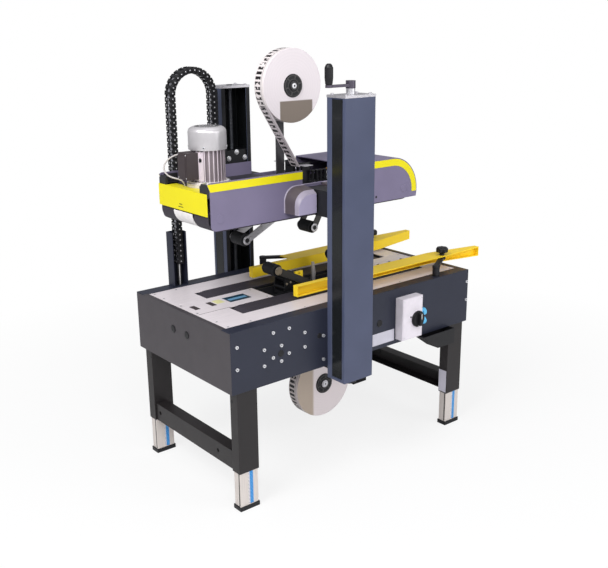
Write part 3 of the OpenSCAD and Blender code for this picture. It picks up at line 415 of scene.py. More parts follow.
# Heights, faces and radii at which the finish changes; those in metres say so.
CORE_RADIUS_M = 0.0385
FOOT_TOP_M = 0.0155
CRANK_SLEEVE_TOP_M = 1.308
HEAD_FACE_M = 0.1425
TRAY_TOP = 411
BOX_SIDE = 257.5
FLANGE_TOP = 1023.6
FIN_ROOT = 52.5
SEAT_TOP = 997.5
SEAT_RADIUS = 72
ABOVE_BED = 610
NOSE_LOW, NOSE_START = 1030, 55
RECESS_HALF = 57
RECESS_IN, RECESS_OUT = 288, 366


def roll_rule(centre, name):
    def rule(c, n):
        if math.hypot(c.x - centre.x, c.z - centre.z) < CORE_RADIUS_M:
            return "black"
        if abs(n.y) < 0.5:
            return name
        return None

    return rule


def place(c):
    """A face's middle in bed millimetres."""
    return c.x * 1000 - SHIFT_X, c.y * 1000, c.z * 1000


def tape_frame_rule(c, n):
    x, y, z = place(c)
    if z > ABOVE_BED and -86 < x < -48 and y < -19.5:
        return "yellow"
    if z > ABOVE_BED and x > -10:
        return "steel"
    return None


def column_rule(c, n):
    x, y, z = place(c)
    # Faces inside the column's channel are painted black as shade, and faces toward the bed's middle take
    # the dark carriage finish as painted shade.
    if abs(x - COLUMN_X) < RECESS_HALF and RECESS_IN < abs(y) < RECESS_OUT:
        return "strip"
    if y * n.y < 0 and abs(n.y) > 0.5:
        return "carriage"
    return None


def box_rule(c, n):
    x, y, z = place(c)
    if z < TRAY_TOP:
        return "black"
    if x > BOX_SIDE:
        return "blue"
    return None


def head_rule(c, n):
    if abs(c.y) <= HEAD_FACE_M:
        return None
    # The rounded rim is lighter as a painted highlight and the cheeks darker as painted shade.
    if abs(n.y) > 0.9:
        return "boss"
    return "boss_rim" if abs(n.y) > 0.2 else "boss_cheek_shade"


def motor_rule(c, n):
    x, y, z = place(c)
    if z < FLANGE_TOP:
        return "flange"
    # The body between the fins takes the darker copy: painted shade.
    return "fin_gap_shade" if math.hypot(x - MOTOR_X, y) < FIN_ROOT else None


def deck_rule(c, n):
    x, y, z = place(c)
    if z > SEAT_TOP and math.hypot(x - MOTOR_X, y) < SEAT_RADIUS:
        return "flange"
    return "head" if z > NOSE_LOW and x > NOSE_START else None


RULES = {
    "crank": lambda c, n: "bolt" if c.z < CRANK_SLEEVE_TOP_M else None,
    "inner_legs": lambda c, n: "black" if c.z < FOOT_TOP_M else None,
    "upper_tape_roll": roll_rule(UPPER_ROLL, "upper_rim"),
    "lower_tape_roll": roll_rule(LOWER_ROLL, "lower_rim"),
    "lower_tape_frame": tape_frame_rule,
    "columns": column_rule,
    "control_box": box_rule,
    "head_panels": head_rule,
    "head_chassis": deck_rule,
    "motor": motor_rule,
}
BEVEL = {
    "control_box": 0.004,
    "terminal_box": 0.004,
    "columns": 0.002,
    "head_panels": 0.0009,
    "bed_plates": 0.0005,
    "side_panels": 0.0009,
    "end_panels": 0.0009,
    "guide_front": 0.0009,
    "guide_rear": 0.0009,
    "motor_lead": 0.0,
    "lower_tape_web": 0.0,
    "upper_tape_web": 0.0,
    "motor_cowl": 0.0,
    "crank_grip": 0.0,
    "frame_bolts": 0.0008,
    "switch_knob": 0.0018,
    "upper_tape_roll": 0.0015,
    "lower_tape_roll": 0.0015,
}
# Solids whose edges lie too close together for a bevel; their sharp edges are split instead.
SPLIT = ("motor", "head_trim")
SHARP = math.radians(32)


def dress(obj, width, split):
    """Weld, bevel or split, and smooth by angle, without touching the vertices themselves."""
    weld = obj.modifiers.new("weld", "WELD")
    weld.merge_threshold = 0.00002
    if split:
        obj.modifiers.new("split", "EDGE_SPLIT").split_angle = SHARP
    elif width > 0:
        bevel = obj.modifiers.new("bevel", "BEVEL")
        bevel.width = width
        bevel.segments = 2
        bevel.limit_method = "ANGLE"
        bevel.angle_limit = SHARP
        bevel.loop_slide = False
        bevel.use_clamp_overlap = True
    for polygon in obj.data.polygons:
        polygon.use_smooth = True
    obj.modifiers.new("normals", "WEIGHTED_NORMAL").keep_sharp = True


for name, obj in nodes.items():
    mesh = obj.data
    mesh.materials.clear()
    mesh.materials.append(FINISHES[LOOK[name]])
    index = {LOOK[name]: 0}
    rule = RULES.get(name)
    for polygon in mesh.polygons:
        polygon.material_index = 0
        if rule:
            key = rule(polygon.center, polygon.normal)
            if key:
                if key not in index:
                    index[key] = len(mesh.materials)
                    mesh.materials.append(FINISHES[key])
                polygon.material_index = index[key]
    dress(obj, BEVEL.get(name, 0.0012), name in SPLIT)


# Pieces added to the solids
class Kit:
    """Gathers plates, rods and turned shapes, in bed millimetres, into one piece."""

    def __init__(self):
        self.mesh = bmesh.new()
        self.index = 0

    def use(self, index):
        self.index = index
        return self

    def faces(self, rings):
        """A closed skin over rings of points, with a cap at each end."""
        made = []
        loops = [[self.mesh.verts.new(at(*p)) for p in ring] for ring in rings]
        count = len(loops[0])
        for a, b in zip(loops, loops[1:]):
            for i in range(count):
                j = (i + 1) % count
                made.append(self.mesh.faces.new((a[i], a[j], b[j], b[i])))
        made.append(self.mesh.faces.new(list(reversed(loops[0]))))
        made.append(self.mesh.faces.new(loops[-1]))
        for face in made:
            face.material_index = self.index
        return self

    def box(self, x0, x1, y0, y1, z0, z1):
        low = [(x0, y0, z0), (x1, y0, z0), (x1, y1, z0), (x0, y1, z0)]
        high = [(x, y, z1) for x, y, z in low]
        return self.faces([low, high])

    def prism_z(self, outline, z0, z1):
        return self.faces([[(x, y, z0) for x, y in outline], [(x, y, z1) for x, y in outline]])

    def prism_y(self, outline, y0, y1):
        return self.faces([[(x, y0, z) for x, z in outline], [(x, y1, z) for x, z in outline]])

    def turned(self, base, axis, profile, sides=32, lobes=0, depth=0.0):
        """A turned shape: profile is radius and distance along the axis from base."""
        axis = Vector(axis).normalized()
        u = axis.orthogonal().normalized()
        v = axis.cross(u)
        base = Vector(base)
        rings = []
        for radius, along in profile:
            ring = []
            for k in range(sides):
                a = 2 * math.pi * k / sides
                r = radius * (1 - depth * (0.5 - 0.5 * math.cos(lobes * a))) if lobes else radius
                ring.append(tuple(base + axis * along + (u * math.cos(a) + v * math.sin(a)) * r))
            rings.append(ring)
        return self.faces(rings)

    def coil(self, start, end, radius, wire, turns):
        """A coil spring between two points."""
        start, end = Vector(start), Vector(end)
        axis = (end - start).normalized()
        u = axis.orthogonal().normalized()
        v = axis.cross(u)
        steps = int(turns * 14)
        rings = []
        for i in range(steps + 1):
            a = 2 * math.pi * turns * i / steps
            out = u * math.cos(a) + v * math.sin(a)
            middle = start.lerp(end, i / steps) + out * radius
            ring = []
            for k in range(6):
                b = math.pi * k / 3
                ring.append(tuple(middle + out * (wire * math.cos(b)) + axis * (wire * math.sin(b))))
            rings.append(ring)
        return self.faces(rings)

    def hex_bolt(self, base, axis, r, h):
        self.turned(base, axis, [(r * 1.35, 0), (r * 1.35, 0.8), (r, 0.85)], 24)
        self.turned(base, axis, [(r, 0.8), (r, h * 0.8), (r * 0.86, h)], 6)
        return self

    def socket_bolt(self, base, axis, r, h):
        """A round head in the current finish with a socket in the second one, a raised hex that is painted
        shade for the hollow.
        """
        self.turned(base, axis, [(r, 0), (r, h - 0.8), (r - 0.8, h)], 28)
        keep = self.index
        self.use(1).turned(base, axis, [(r * 0.5, h - 0.1), (r * 0.46, h + 0.12)], 6)
        return self.use(keep)

    def make(self, name, body, slot, *keys, bevel):
        mesh = bpy.data.meshes.new(name)
        bmesh.ops.recalc_face_normals(self.mesh, faces=self.mesh.faces)
        self.mesh.to_mesh(mesh)
        self.mesh.free()
        for key in keys:
            mesh.materials.append(FINISHES[key])
        obj = bpy.data.objects.new(name, mesh)
        bpy.context.scene.collection.objects.link(obj)
        for polygon in mesh.polygons:
            polygon.use_smooth = True
        if bevel:
            modifier = obj.modifiers.new("bevel", "BEVEL")
            modifier.width = bevel
            modifier.segments = 2
            modifier.limit_method = "ANGLE"
            modifier.angle_limit = math.radians(40)
        obj.modifiers.new("normals", "WEIGHTED_NORMAL").keep_sharp = True
        if body:
            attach(obj, body)
        return obj


POS_X = (1, 0, 0)
NEG_X = (-1, 0, 0)
NEG_Y = (0, -1, 0)
POS_Y = (0, 1, 0)
UP = (0, 0, 1)
DOWN = (0, 0, -1)

# Sockets in the bolt heads of the side panels, as black hexes: painted shade in the hollows.
BOLTS = [
    (-519, 563), (-520, 491), (-381, 578), (-417, 530), (-318, 579), (-350, 529), (-320, 496), (-383, 496),
    (-418, 477), (-351, 477), (-255, 550), (-255, 501), (-176, 520), (-176, 438), (531, 567), (531, 496),
]
kit = Kit()
for x, z in BOLTS:
    for s in (-1, 1):
        kit.turned((x, s * 288.8, z), (0, s, 0), [(2.4, 0), (2.2, 0.35)], 6)
kit.make("bolt_sockets", "frame", "black_plastic", "black", bevel=0)

# Blank rating plate, a blank label on one sleeve, plugs and grommets on the panels.
kit = Kit()
kit.box(47, 151, -286.1, -285, 425, 468)
kit.box(49.5, 148.5, -286.5, -286, 427.5, 465.5)
for x in (51, 147):
    for z in (429, 464):
        kit.turned((x, -286, z), NEG_Y, [(2.2, 0), (2.0, 0.9), (1.0, 1.3)], 16)
kit.box(444.5, 445, -279, -242, 137, 225)
kit.make("rating_plate", "frame", "bright_steel", "blank", bevel=0.0002)
kit = Kit()
kit.turned((80, -285, 503), NEG_Y, [(12.5, 0), (12.5, 1.2), (10.5, 2.6), (5, 3.2)], 36)
for e, ys in ((-1, (47, -36)), (1, (-47, 36))):
    for y in ys:
        base = (e * 537, y, 539)
        kit.turned(base, (e, 0, 0), [(9.8, 0), (9.8, 3), (13, 3.1), (12.4, 4.8), (8, 5.2)], 36)
for x, z, r in ((-351, 502, 9), (-192, 523, 7)):
    profile = [(r - 0.2, 0), (r - 0.2, 3), (r + 2.5, 3.1), (r + 2, 4.4), (r - 2, 4.6)]
    kit.turned((x, -282, z), NEG_Y, profile, 32)
for y in (-217, 152):
    kit.turned((515, y, 167), NEG_X, [(6.8, 0), (6.8, 3), (9, 3.1), (8.6, 4.2), (5, 4.6)], 28)
kit.make("panel_plugs", "frame", "black_plastic", "black", bevel=0)

# Plain dark inlay with a bright bar on the exit plate, two small dark pads, a pale field and a dark joint.
kit = Kit()
kit.box(-357, -271, -23, 30, PLATE_SINK, 609.7)
kit.use(1).box(-350, -278, -8, 9, 609.6, 609.95)
for x in (-491, -427):
    kit.use(2).box(x, x + 19, -18, 24, PLATE_SINK, 609.5)
kit.box(-509, -388, -65.6, -63.4, PLATE_SINK, 609.1)
kit.use(3).box(-401, -370, -9, 28, PLATE_SINK, 609.3)
kit.make("plate_inlay", "frame", "black_plastic", "label", "cyan", "brown", "pale", bevel=0.00008)

# Countersunk screws of the bed plates, with black crosses as painted shade in their recesses.
kit = Kit()
spots = []
for s in (-1, 1):
    for x in (-505, -420, -200, 20, 240, 505):
        spots.append((x, s * 222))
    for x in (-505, 505):
        spots.append((x, s * 160))
        spots.append((x, s * 50))
    for x in (-225, 222):
        spots.append((x, s * 50))
for x, y in spots:
    kit.use(0).turned((x, y, PLATE_SINK), UP, [(4.6, 0), (4.4, 0.35)], 24)
    kit.use(1).box(x - 2.6, x + 2.6, y - 0.5, y + 0.5, 609.1, 609.34)
    kit.box(x - 0.5, x + 0.5, y - 2.6, y + 2.6, 609.1, 609.33)
kit.make("plate_screws", "frame", "bright_steel", "bolt", "black", bevel=0)

# Columns: inlays in the side recesses, top plates and bearings below.
kit = Kit()
for s in (-1, 1):
    for e in (-1, 1):
        x = COLUMN_X + e * 62
        x0, x1 = sorted((x - e * 1.9, x - e * 0.6))
        y0, y1 = sorted((s * 308.5, s * 354.5))
        kit.box(x0, x1, y0, y1, 381, 1277)
kit.make("column_inlays", "frame", "black_plastic", "strip", bevel=0.0004)
kit = Kit()
for s in (-1, 1):
    y0, y1 = sorted((s * 284.6, s * 370.5))
    kit.use(0).box(COLUMN_X - 62.5, COLUMN_X + 62.5, y0, y1, 1281.5, 1289.4)
    for dx in (-50, 50):
        for y in (296, 358):
            kit.socket_bolt((COLUMN_X + dx, s * y, 1289.3), UP, 5.0, 4.5)
kit.make("column_caps", "frame", "bright_steel", "steel", "black", bevel=0.00012)
kit = Kit()
for s in (-1, 1):
    kit.turned((COLUMN_X, s * COLUMN_Y, 369), DOWN, [(31, 0), (31, 6), (24, 8), (24, 18), (20, 20)], 40)
kit.make("column_bearings", "frame", "dark_steel", "dark", bevel=0)

# Carriage bolts beside the columns, and blank caps over the belt shafts.
kit = Kit()
for s in (-1, 1):
    for x, z in ((-129, 1031), (-58, 1030), (-94, 1052)):
        kit.hex_bolt((x, s * 293, z), (0, -s, 0), 7.0, 6.0)
    for x in (-118, -75):
        for z in (912, 972):
            kit.hex_bolt((x, s * 293, z), (0, -s, 0), 5.0, 4.0)
kit.make("carriage_bolts", "head", "bright_steel", "bolt", bevel=0)
kit = Kit()
for s in (-1, 1):
    for x in (-465, 330):
        kit.turned((x, s * 141.8, 926), (0, s, 0), [(14.5, 0), (14.5, 0.9), (12.5, 1.5)], 40)
    kit.use(1).turned((194, s * 141.9, 910), (0, s, 0), [(4.5, 0), (4.2, 0.4)], 24)
    kit.use(0)
kit.make("head_caps", "head", "head_paint", "head", "black", bevel=0)

# Two plain dashes on the yellow end plate, and a dark corner piece inside the rear panel.
kit = Kit()
kit.box(-511.4, -510.9, 0, 16, 956, 958.5)
kit.box(-511.4, -510.9, -6, 22, 947.5, 949.5)
kit.make("end_plate_tick", "head", "black_plastic", "black", bevel=0)
kit = Kit()
kit.prism_y([(-496, 950), (-440, 950), (-440, 1034), (-489, 1034), (-496, 1028)], 137.6, 138.9)
kit.box(-496, -440, 128, 138, 1004, 1007)
kit.make("corner_piece", "head", "dark_steel", "chassis", bevel=0.0006)

# Motor: flange screws, a smooth strip with a plug, and vents in the cowl.
FLANGE_SCREW = 43.84
VENT_LOW, VENT_HIGH = 1192.7, 1193.25
kit = Kit()
for dx in (-FLANGE_SCREW, FLANGE_SCREW):
    for dy in (-FLANGE_SCREW, FLANGE_SCREW):
        kit.use(0).socket_bolt((MOTOR_X + dx, dy, 1017.2), UP, 6.0, 9.0)
kit.make("motor_screws", "head", "bright_steel", "bolt", "black", bevel=0)
kit = Kit()
facing = Vector((-0.877, -0.481, 0))
side = Vector((-facing.y, facing.x, 0))
pad = []
for along in (1026, 1118):
    ring = []
    for w, r in ((-12, 47), (12, 47), (12, 53.8), (-12, 53.8)):
        ring.append(tuple(Vector((MOTOR_X, 0, along)) + facing * r + side * w))
    pad.append(ring)
kit.use(0).faces(pad)
plug = Vector((MOTOR_X, 0, 1092)) + facing * 53.5
kit.use(1).turned(plug, facing, [(7.5, 0), (7.5, 1.6), (6, 3), (3, 3.2)], 6)
kit.make("motor_strip", "head", "motor_aluminium", "motor", "black", bevel=0.0007)
# The vents are black slots on the cowl top: painted shade in the openings.
kit = Kit()
for k in range(28):
    a = 2 * math.pi * k / 28
    out = Vector((math.cos(a), math.sin(a), 0))
    across = Vector((-out.y, out.x, 0))
    outline = []
    for r, w in ((27, 1.3), (40, 2.0), (40, -2.0), (27, -1.3)):
        p = Vector((MOTOR_X, 0, 0)) + out * r + across * w
        outline.append((p.x, p.y))
    kit.prism_z(outline, VENT_LOW, VENT_HIGH)
for r in (8, 18):
    for k in range(10):
        a0 = 2 * math.pi * (k + 0.12) / 10
        a1 = 2 * math.pi * (k + 0.88) / 10
        outline = []
        for edge, order in ((r + 2, range(5)), (r - 2, range(4, -1, -1))):
            for i in order:
                a = a0 + (a1 - a0) * i / 4
                outline.append((MOTOR_X + edge * math.cos(a), edge * math.sin(a)))
        kit.prism_z(outline, VENT_LOW, VENT_HIGH)
kit.make("cowl_vents", "head", "black_plastic", "black", bevel=0)
kit = Kit()
for k in range(4):
    a = math.radians(45 + 90 * k)
    base = (MOTOR_X + 60.2 * math.cos(a), 60.2 * math.sin(a), 1131)
    kit.use(0).socket_bolt(base, (math.cos(a), math.sin(a), 0), 4.2, 2.4)
kit.make("cowl_screws", "head", "bright_steel", "bolt", "black", bevel=0)

# Terminal box: lid, screws and the gland of the lead.
kit = Kit()
kit.use(0).box(-504.6, -502.5, -25, 25, 1037, 1114)
kit.box(-506, -504, -20, 20, 1043, 1108)
kit.turned((-470, 26.6, 1106), POS_Y, [(9, 0), (9, 5), (8, 5.6)], 6)
kit.turned((-470, 32, 1106), POS_Y, [(7, 0), (7, 4), (4.4, 6)], 24)
for y in (-22.3, 22.3):
    for z in (1040, 1111):
        kit.use(1).turned((-504.5, y, z), NEG_X, [(2.2, 0), (2.0, 0.8)], 16)
kit.make("terminal_lid", "head", "black_plastic", "brown", "bolt", bevel=0.00035)

# The lead: one loop from the gland out over the corner and back to the deck, on the solid's own points.
LEAD = [
    (-470, 24, 1106), (-470, 32, 1106), (-471, 40, 1107), (-476, 56, 1106),
    (-488, 72, 1100), (-503, 83, 1089), (-514, 88, 1075), (-518, 88, 1060),
    (-515, 83, 1046), (-507, 73, 1036), (-497, 60, 1031), (-488, 48, 1028),
    (-481, 40, 1022), (-477, 36, 1013), (-476, 35, 1004), (-476, 35, 996),
]
LEAD_RADIUS = 2.5


def smooth(points, parts=6):
    """Points of a smooth curve that passes through all the given ones."""
    points = [Vector(p) for p in points]
    out = []
    for i in range(len(points) - 1):
        a, b = points[i], points[i + 1]
        before = points[max(0, i - 1)]
        after = points[min(len(points) - 1, i + 2)]
        for k in range(parts):
            t = k / parts
            bend = (b - before) * (t - 2 * t**2 + t**3) / 2 + (after - a) * (t**3 - t**2) / 2
            out.append(a * (1 - 3 * t**2 + 2 * t**3) + b * (3 * t**2 - 2 * t**3) + bend)
    return out + [points[-1]]


def tube(kit, points, radius, sides=12):
    rings = []
    for i, point in enumerate(points):
        axis = (points[min(i + 1, len(points) - 1)] - points[max(i - 1, 0)]).normalized()
        u = axis.cross(Vector((0.3, 0.2, 0.1))).normalized()
        v = axis.cross(u)
        ring = []
        for k in range(sides):
            a = 2 * math.pi * k / sides
            ring.append(tuple(point + (u * math.cos(a) + v * math.sin(a)) * radius))
        rings.append(ring)
    return kit.faces(rings)


route = smooth(LEAD)
kit = tube(Kit(), route, LEAD_RADIUS)
lead = kit.make("lead_loop", "head", "cable_white", "lead", bevel=0)
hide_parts("motor_lead")

# Control box: cover, screws, the bezel of the switch and its pointer.
kit = Kit()
kit.use(0).box(160.5, 254.5, -321.0, -319, 430.5, 576.5)
for x in (166, 249):
    for z in (437, 570):
        kit.use(1).turned((x, -320.9, z), NEG_Y, [(3.4, 0), (3.2, 0.8), (2, 1.1)], 20)
kit.use(2).turned((197.5, -320.9, 509), NEG_Y, [(3.2, 0), (3.2, 1.0), (2.0, 1.8)], 24)
kit.make("box_cover", "frame", "box_plastic", "box", "bolt", "black", bevel=0.00035)
kit = Kit()
profile = [(29, 0), (29, 6), (28, 7.2), (26.7, 7.2), (26.7, 0)]
kit.turned((SWITCH_X, -323, SWITCH_Z), NEG_Y, profile, 48)
kit.make("switch_rings", "frame", "box_plastic", "black", bevel=0)
kit = Kit()
kit.box(SWITCH_X - 1.1, SWITCH_X + 1.1, -345.45, -345, 501, 516)
kit.prism_y([(SWITCH_X - 2.4, 515.9), (SWITCH_X + 2.4, 515.9), (SWITCH_X, 520.5)], -345.45, -345)
# A small white bar low on the knob: a painted highlight.
kit.box(223.5, 231, -333.4, -333, 472.6, 475.6)
kit.make("switch_pointer", "switch", "box_plastic", "white", bevel=0.00015)
kit = Kit()
for z in (508, 475):
    base = (257, -301, z)
    kit.use(0).turned(base, POS_X, [(14.7, 11), (14.7, 15), (13.4, 16)], 36)
    kit.turned(base, POS_X, [(12.4, 26), (12.4, 27.8), (11, 28.6), (5, 28.8)], 36)
    kit.use(1).turned(base, POS_X, [(4.5, 28.4), (4.5, 29.4), (3, 29.8)], 20)
kit.make("inlet_rings", "frame", "box_plastic", "blue", "bolt", bevel=0)

# Scales on the inner legs, with a dark seam at the corner, and plugs in the sleeves.
kit = Kit()
for ex in (-1, 1):
    for sy in (-1, 1):
        cx = ex * 483
        y = sy * 262 - 16.7
        kit.use(0).box(cx - 4.5, cx + 1, y - 0.12, y + 0.4, 17, 330)
        kit.use(1).box(cx + 2, cx + 15, y - 0.12, y + 0.4, 17, 330)
        kit.use(2).box(cx - 34.82, cx - 34.3, y + 4, y + 9, 17, 330)
kit.make("leg_scales", "legs", "bright_steel", "tick", "scale_blue", "leg", bevel=0)
kit = Kit()
for ex in (-1, 1):
    for y in (-250, 250):
        kit.turned((ex * 521, y, 374), (ex, 0, 0), [(5, -0.3), (5, 0.5), (3.6, 0.9)], 24)
kit.make("sleeve_plugs", "frame", "black_plastic", "black", bevel=0)

# Lobed heads for the guide knobs, with their studs.
for s, side_name in ((-1, "front"), (1, "rear")):
    x, y = 494.03, s * 191.2
    kit = Kit()
    kit.use(1).turned((x, y, 641), UP, [(5.9, 0), (5.9, 20)], 24)
    kit.use(0).turned((x, y, 657.2), UP, [(10, 0), (10, 2), (8.6, 3), (8.6, 12)], 32)
    profile = [(19, 10.5), (22, 12.5), (23, 16), (23, 25), (21.5, 29), (17, 30.8), (8, 31)]
    kit.turned((x, y, 657.2), UP, profile, 70, 7, 0.16)
    knob = kit.make("knob_" + side_name, "knob_" + side_name, "black_plastic", "black", "bolt", bevel=0)
    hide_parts("guide_knob_" + side_name)

# Lower taping unit: black cheeks, spools, springs and studs beside the wiping arm; caps on the rollers.
kit = Kit()
cheek = [(-136, 598), (-132, 640), (-120, 652), (-100, 650), (-86, 630), (-44, 612), (-30, 598)]
for y0, y1 in ((-30, -26), (26, 30)):
    kit.use(0).prism_y(cheek, y0, y1)
kit.box(-136, -34, -26, 26, 590, 599)
for x, z, r in ((-118, 640, 11), (-100, 618, 13), (-128, 612, 9)):
    spool = [(r, -31.5), (r, -27), (r - 3, -26), (r - 3, 26), (r, 27), (r, 31.5), (r - 2, 32.4)]
    kit.turned((x, 0, z), POS_Y, spool, 28)
for x, z in ((-124, 628), (-108, 632), (-92, 612)):
    kit.use(1).turned((x, -30, z), NEG_Y, [(5, 0), (5, 1.4), (3.2, 2.4)], 6)
for y in (-14, 14):
    kit.use(2).coil((-80, y, 600), (-52, y, 616), 6, 1.2, 6)
kit.make("lower_mechanism", "frame", "dark_steel", "black", "taupe", "steel", bevel=0.0005)
RINGS = (
    ("lower_wipe", -165, 684, "taupe"),
    ("lower_apply", 125, 684, "taupe"),
    ("upper_wipe", -294, 813, "steel"),
    ("upper_apply", -4, 813, "steel"),
)
for body, x, z, key in RINGS:
    kit = Kit()
    for s in (-1, 1):
        profile = [(15, 0), (15, 1.6), (13.5, 2.4), (9, 2.5), (8.4, 1.9)]
        kit.use(0).turned((x, s * 38.1, z), (0, s, 0), profile, 36)
        if key == "steel":
            kit.use(1).turned((x, s * 39.9, z), (0, s, 0), [(8.3, 0), (8.1, 0.5)], 32)
        for a in (40, 160, 280):
            dx = 11 * math.cos(math.radians(a))
            dz = 11 * math.sin(math.radians(a))
            kit.use(1).turned((x + dx, s * 40.3, z + dz), (0, s, 0), [(1.6, 0), (1.5, 0.5)], 12)
    kit.make(body + "_caps", body, "bright_steel", key, "black", bevel=0)

# Upper taping unit: dark block with springs and rods seen through the gap in the panel.
kit = Kit()
for s in (-1, 1):
    y0, y1 = sorted((s * 47, s * 74))
    kit.use(0).box(-40, 44, y0, y1, 962, 984)
    for x in (-30, -12, 6, 24):
        kit.turned((x, s * 62, 984), UP, [(5, 0), (5, 30), (7, 31), (7, 36), (5, 37)], 20)
    kit.use(1).coil((34, s * 62, 984), (34, s * 62, 1016), 6, 1.2, 6)
    y0, y1 = sorted((s * 50, s * 84))
    kit.box(-84, -46, y0, y1, 1040, 1042)
    kit.use(2).turned((36, s * 62, 1016), UP, [(6, 0), (6, 5), (4, 7)], 20)
kit.make("upper_mechanism", "head", "dark_steel", "black", "steel", "brass", bevel=0.0005)

# Hubs of the tape rolls: rings and spokes on both sides, and a bright stud in the middle of the nut.
HUB_Y = 29.0
ROLLS = (
    ("upper_roll", "head", UPPER_ROLL_X, UPPER_ROLL_Z),
    ("lower_roll", "frame", LOWER_ROLL_X, LOWER_ROLL_Z),
)
for body, holder, x, z in ROLLS:
    kit = Kit()
    for s in (-1, 1):
        y0, y1 = sorted((s * (HUB_Y - 0.4), s * (HUB_Y + 0.7)))
        for r, w in ((35, 2.4), (22, 2.0)):
            profile = [(r, -0.4), (r, 0.9), (r - w, 0.9), (r - w, -0.4)]
            kit.turned((x, s * HUB_Y, z), (0, s, 0), profile, 48)
        for k in range(6):
            a = math.radians(60 * k + 15)
            spoke = []
            for r, w in ((21, -2), (34, -2), (34, 2), (21, 2)):
                spoke.append((x + r * math.cos(a) - w * math.sin(a), z + r * math.sin(a) + w * math.cos(a)))
            kit.prism_y(spoke, y0, y1)
    kit.make(body + "_hub", body, "black_plastic", "arm", bevel=0)
    kit = Kit()
    kit.use(0).turned((x, -HUB_Y - 3.9, z), NEG_Y, [(9, 0), (9, 1.4), (7.6, 2.2)], 32)
    # A black hex on the stud: painted shade for its socket.
    kit.use(1).turned((x, -HUB_Y - 5.9, z), NEG_Y, [(3.6, 0), (3.4, 0.6)], 6)
    kit.make(body + "_stud", holder, "bright_steel", "bolt", "black", bevel=0)

# Cable chain: links with side plates and pins.
CHAIN_LOW_Y, CHAIN_HIGH_Y = 247.0, 281.0
CHAIN_Y = (CHAIN_LOW_Y + CHAIN_HIGH_Y) / 2
FIXED_X, MOVING_X = -378, -213
ARCH_X, ARCH_Z = -295.5, 1268.5
ARCH_RADIUS = 82.5


def chain_link(kit, centre, along, out, pitch, bright):
    """One link: side plates, cross bars with a bright lug, and pins in the bright finish of that number;
    the bright lugs and pins are painted glints.
    """
    centre, along, out = Vector(centre), Vector(along), Vector(out)

    def block(a0, a1, o0, o1, y0, y1):
        corners = []
        for o, a in ((o0, a0), (o1, a0), (o1, a1), (o0, a1)):
            corners.append(centre + along * a + out * o)
        kit.prism_y([(p.x, p.z) for p in corners], y0, y1)

    half = pitch / 2
    for y0, y1 in ((CHAIN_LOW_Y, CHAIN_LOW_Y + 3.4), (CHAIN_HIGH_Y - 3.4, CHAIN_HIGH_Y)):
        block(-half + 0.6, half - 3.2, -11, 11, y0, y1)
    for y0, y1 in ((CHAIN_LOW_Y + 2.2, CHAIN_LOW_Y + 5.4), (CHAIN_HIGH_Y - 5.4, CHAIN_HIGH_Y - 2.2)):
        block(-half, half + 1.5, -8.5, 8.5, y0, y1)
    block(-half + 4, half - 5, 8.4, 11, CHAIN_LOW_Y + 2, CHAIN_HIGH_Y - 2)
    block(-half + 4, half - 5, -11, -8.4, CHAIN_LOW_Y + 2, CHAIN_HIGH_Y - 2)
    for y, d in ((CHAIN_LOW_Y, -1), (CHAIN_HIGH_Y, 1)):
        kit.use(0).turned((centre.x, y, centre.z), (0, d, 0), [(4.6, -0.2), (4.6, 0.5), (3.4, 0.7)], 16)
        pin = (centre.x, y + 0.4 * d, centre.z)
        kit.use(bright).turned(pin, (0, d, 0), [(2.3, 0), (2.3, 0.5), (1.5, 0.8)], 16)
    # Small bright lugs on the outer face: painted glints.
    for y in (CHAIN_Y - 6, CHAIN_Y + 6):
        block(-3.5, 2.5, -11.9, -10.9, y - 1.4, y + 1.4)
    kit.use(0)


def straight_run(x, z0, z1, bright):
    kit = Kit()
    count = round((z1 - z0) / 19)
    pitch = (z1 - z0) / count
    for i in range(count):
        chain_link(kit, (x, 0, z0 + (i + 0.5) * pitch), UP, POS_X, pitch, bright)
    # Light grey cable inside the chain, partly a painted glint between the links.
    for k, dx in ((2, -4), (1, 4)):
        kit.use(k).box(x + dx - 3, x + dx + 3, 257, 270, z0, z1)
    return kit


kit = straight_run(FIXED_X, 690, ARCH_Z, 4)
for k, dx in enumerate((-7, -1, 6)):
    kit.use(3 if k == 1 else 1)
    kit.turned((FIXED_X + dx, CHAIN_Y + 3 * k - 4, 611), UP, [(3.6, 0), (3.6, 40), (3.6, 82)], 16)
fixed = kit.make("chain_fixed", None, "black_plastic", "black", "dark", "cable", "white", "bolt", bevel=0)
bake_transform(fixed)
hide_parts("chain_fixed_run")
kit = straight_run(MOVING_X, 1006, ARCH_Z, 3)
moving = kit.make("chain_moving", None, "black_plastic", "black", "dark", "cable", "bolt", bevel=0)
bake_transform(moving)
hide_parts("chain_moving_run")
kit = Kit()
for i in range(14):
    a = math.radians((i + 0.5) * 180 / 14)
    out = (math.cos(a), 0, math.sin(a))
    along = (-math.sin(a), 0, math.cos(a))
    centre = (ARCH_X + ARCH_RADIUS * out[0], 0, ARCH_Z + ARCH_RADIUS * out[2])
    chain_link(kit, centre, along, out, 18.4, 2)
# Light grey cable band in the arch, partly painted glints between the links.
for i in range(28):
    a0, a1 = (math.radians(j * 180 / 28) for j in (i, i + 1))
    quad = []
    for r, a in ((78, a0), (87, a0), (87, a1), (78, a1)):
        quad.append((ARCH_X + r * math.cos(a), ARCH_Z + r * math.sin(a)))
    kit.use(1).prism_y(quad, 256, 272)
arch = kit.make("chain_arch_links", "arch", "black_plastic", "black", "cable", "bolt", bevel=0)
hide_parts("chain_arch")

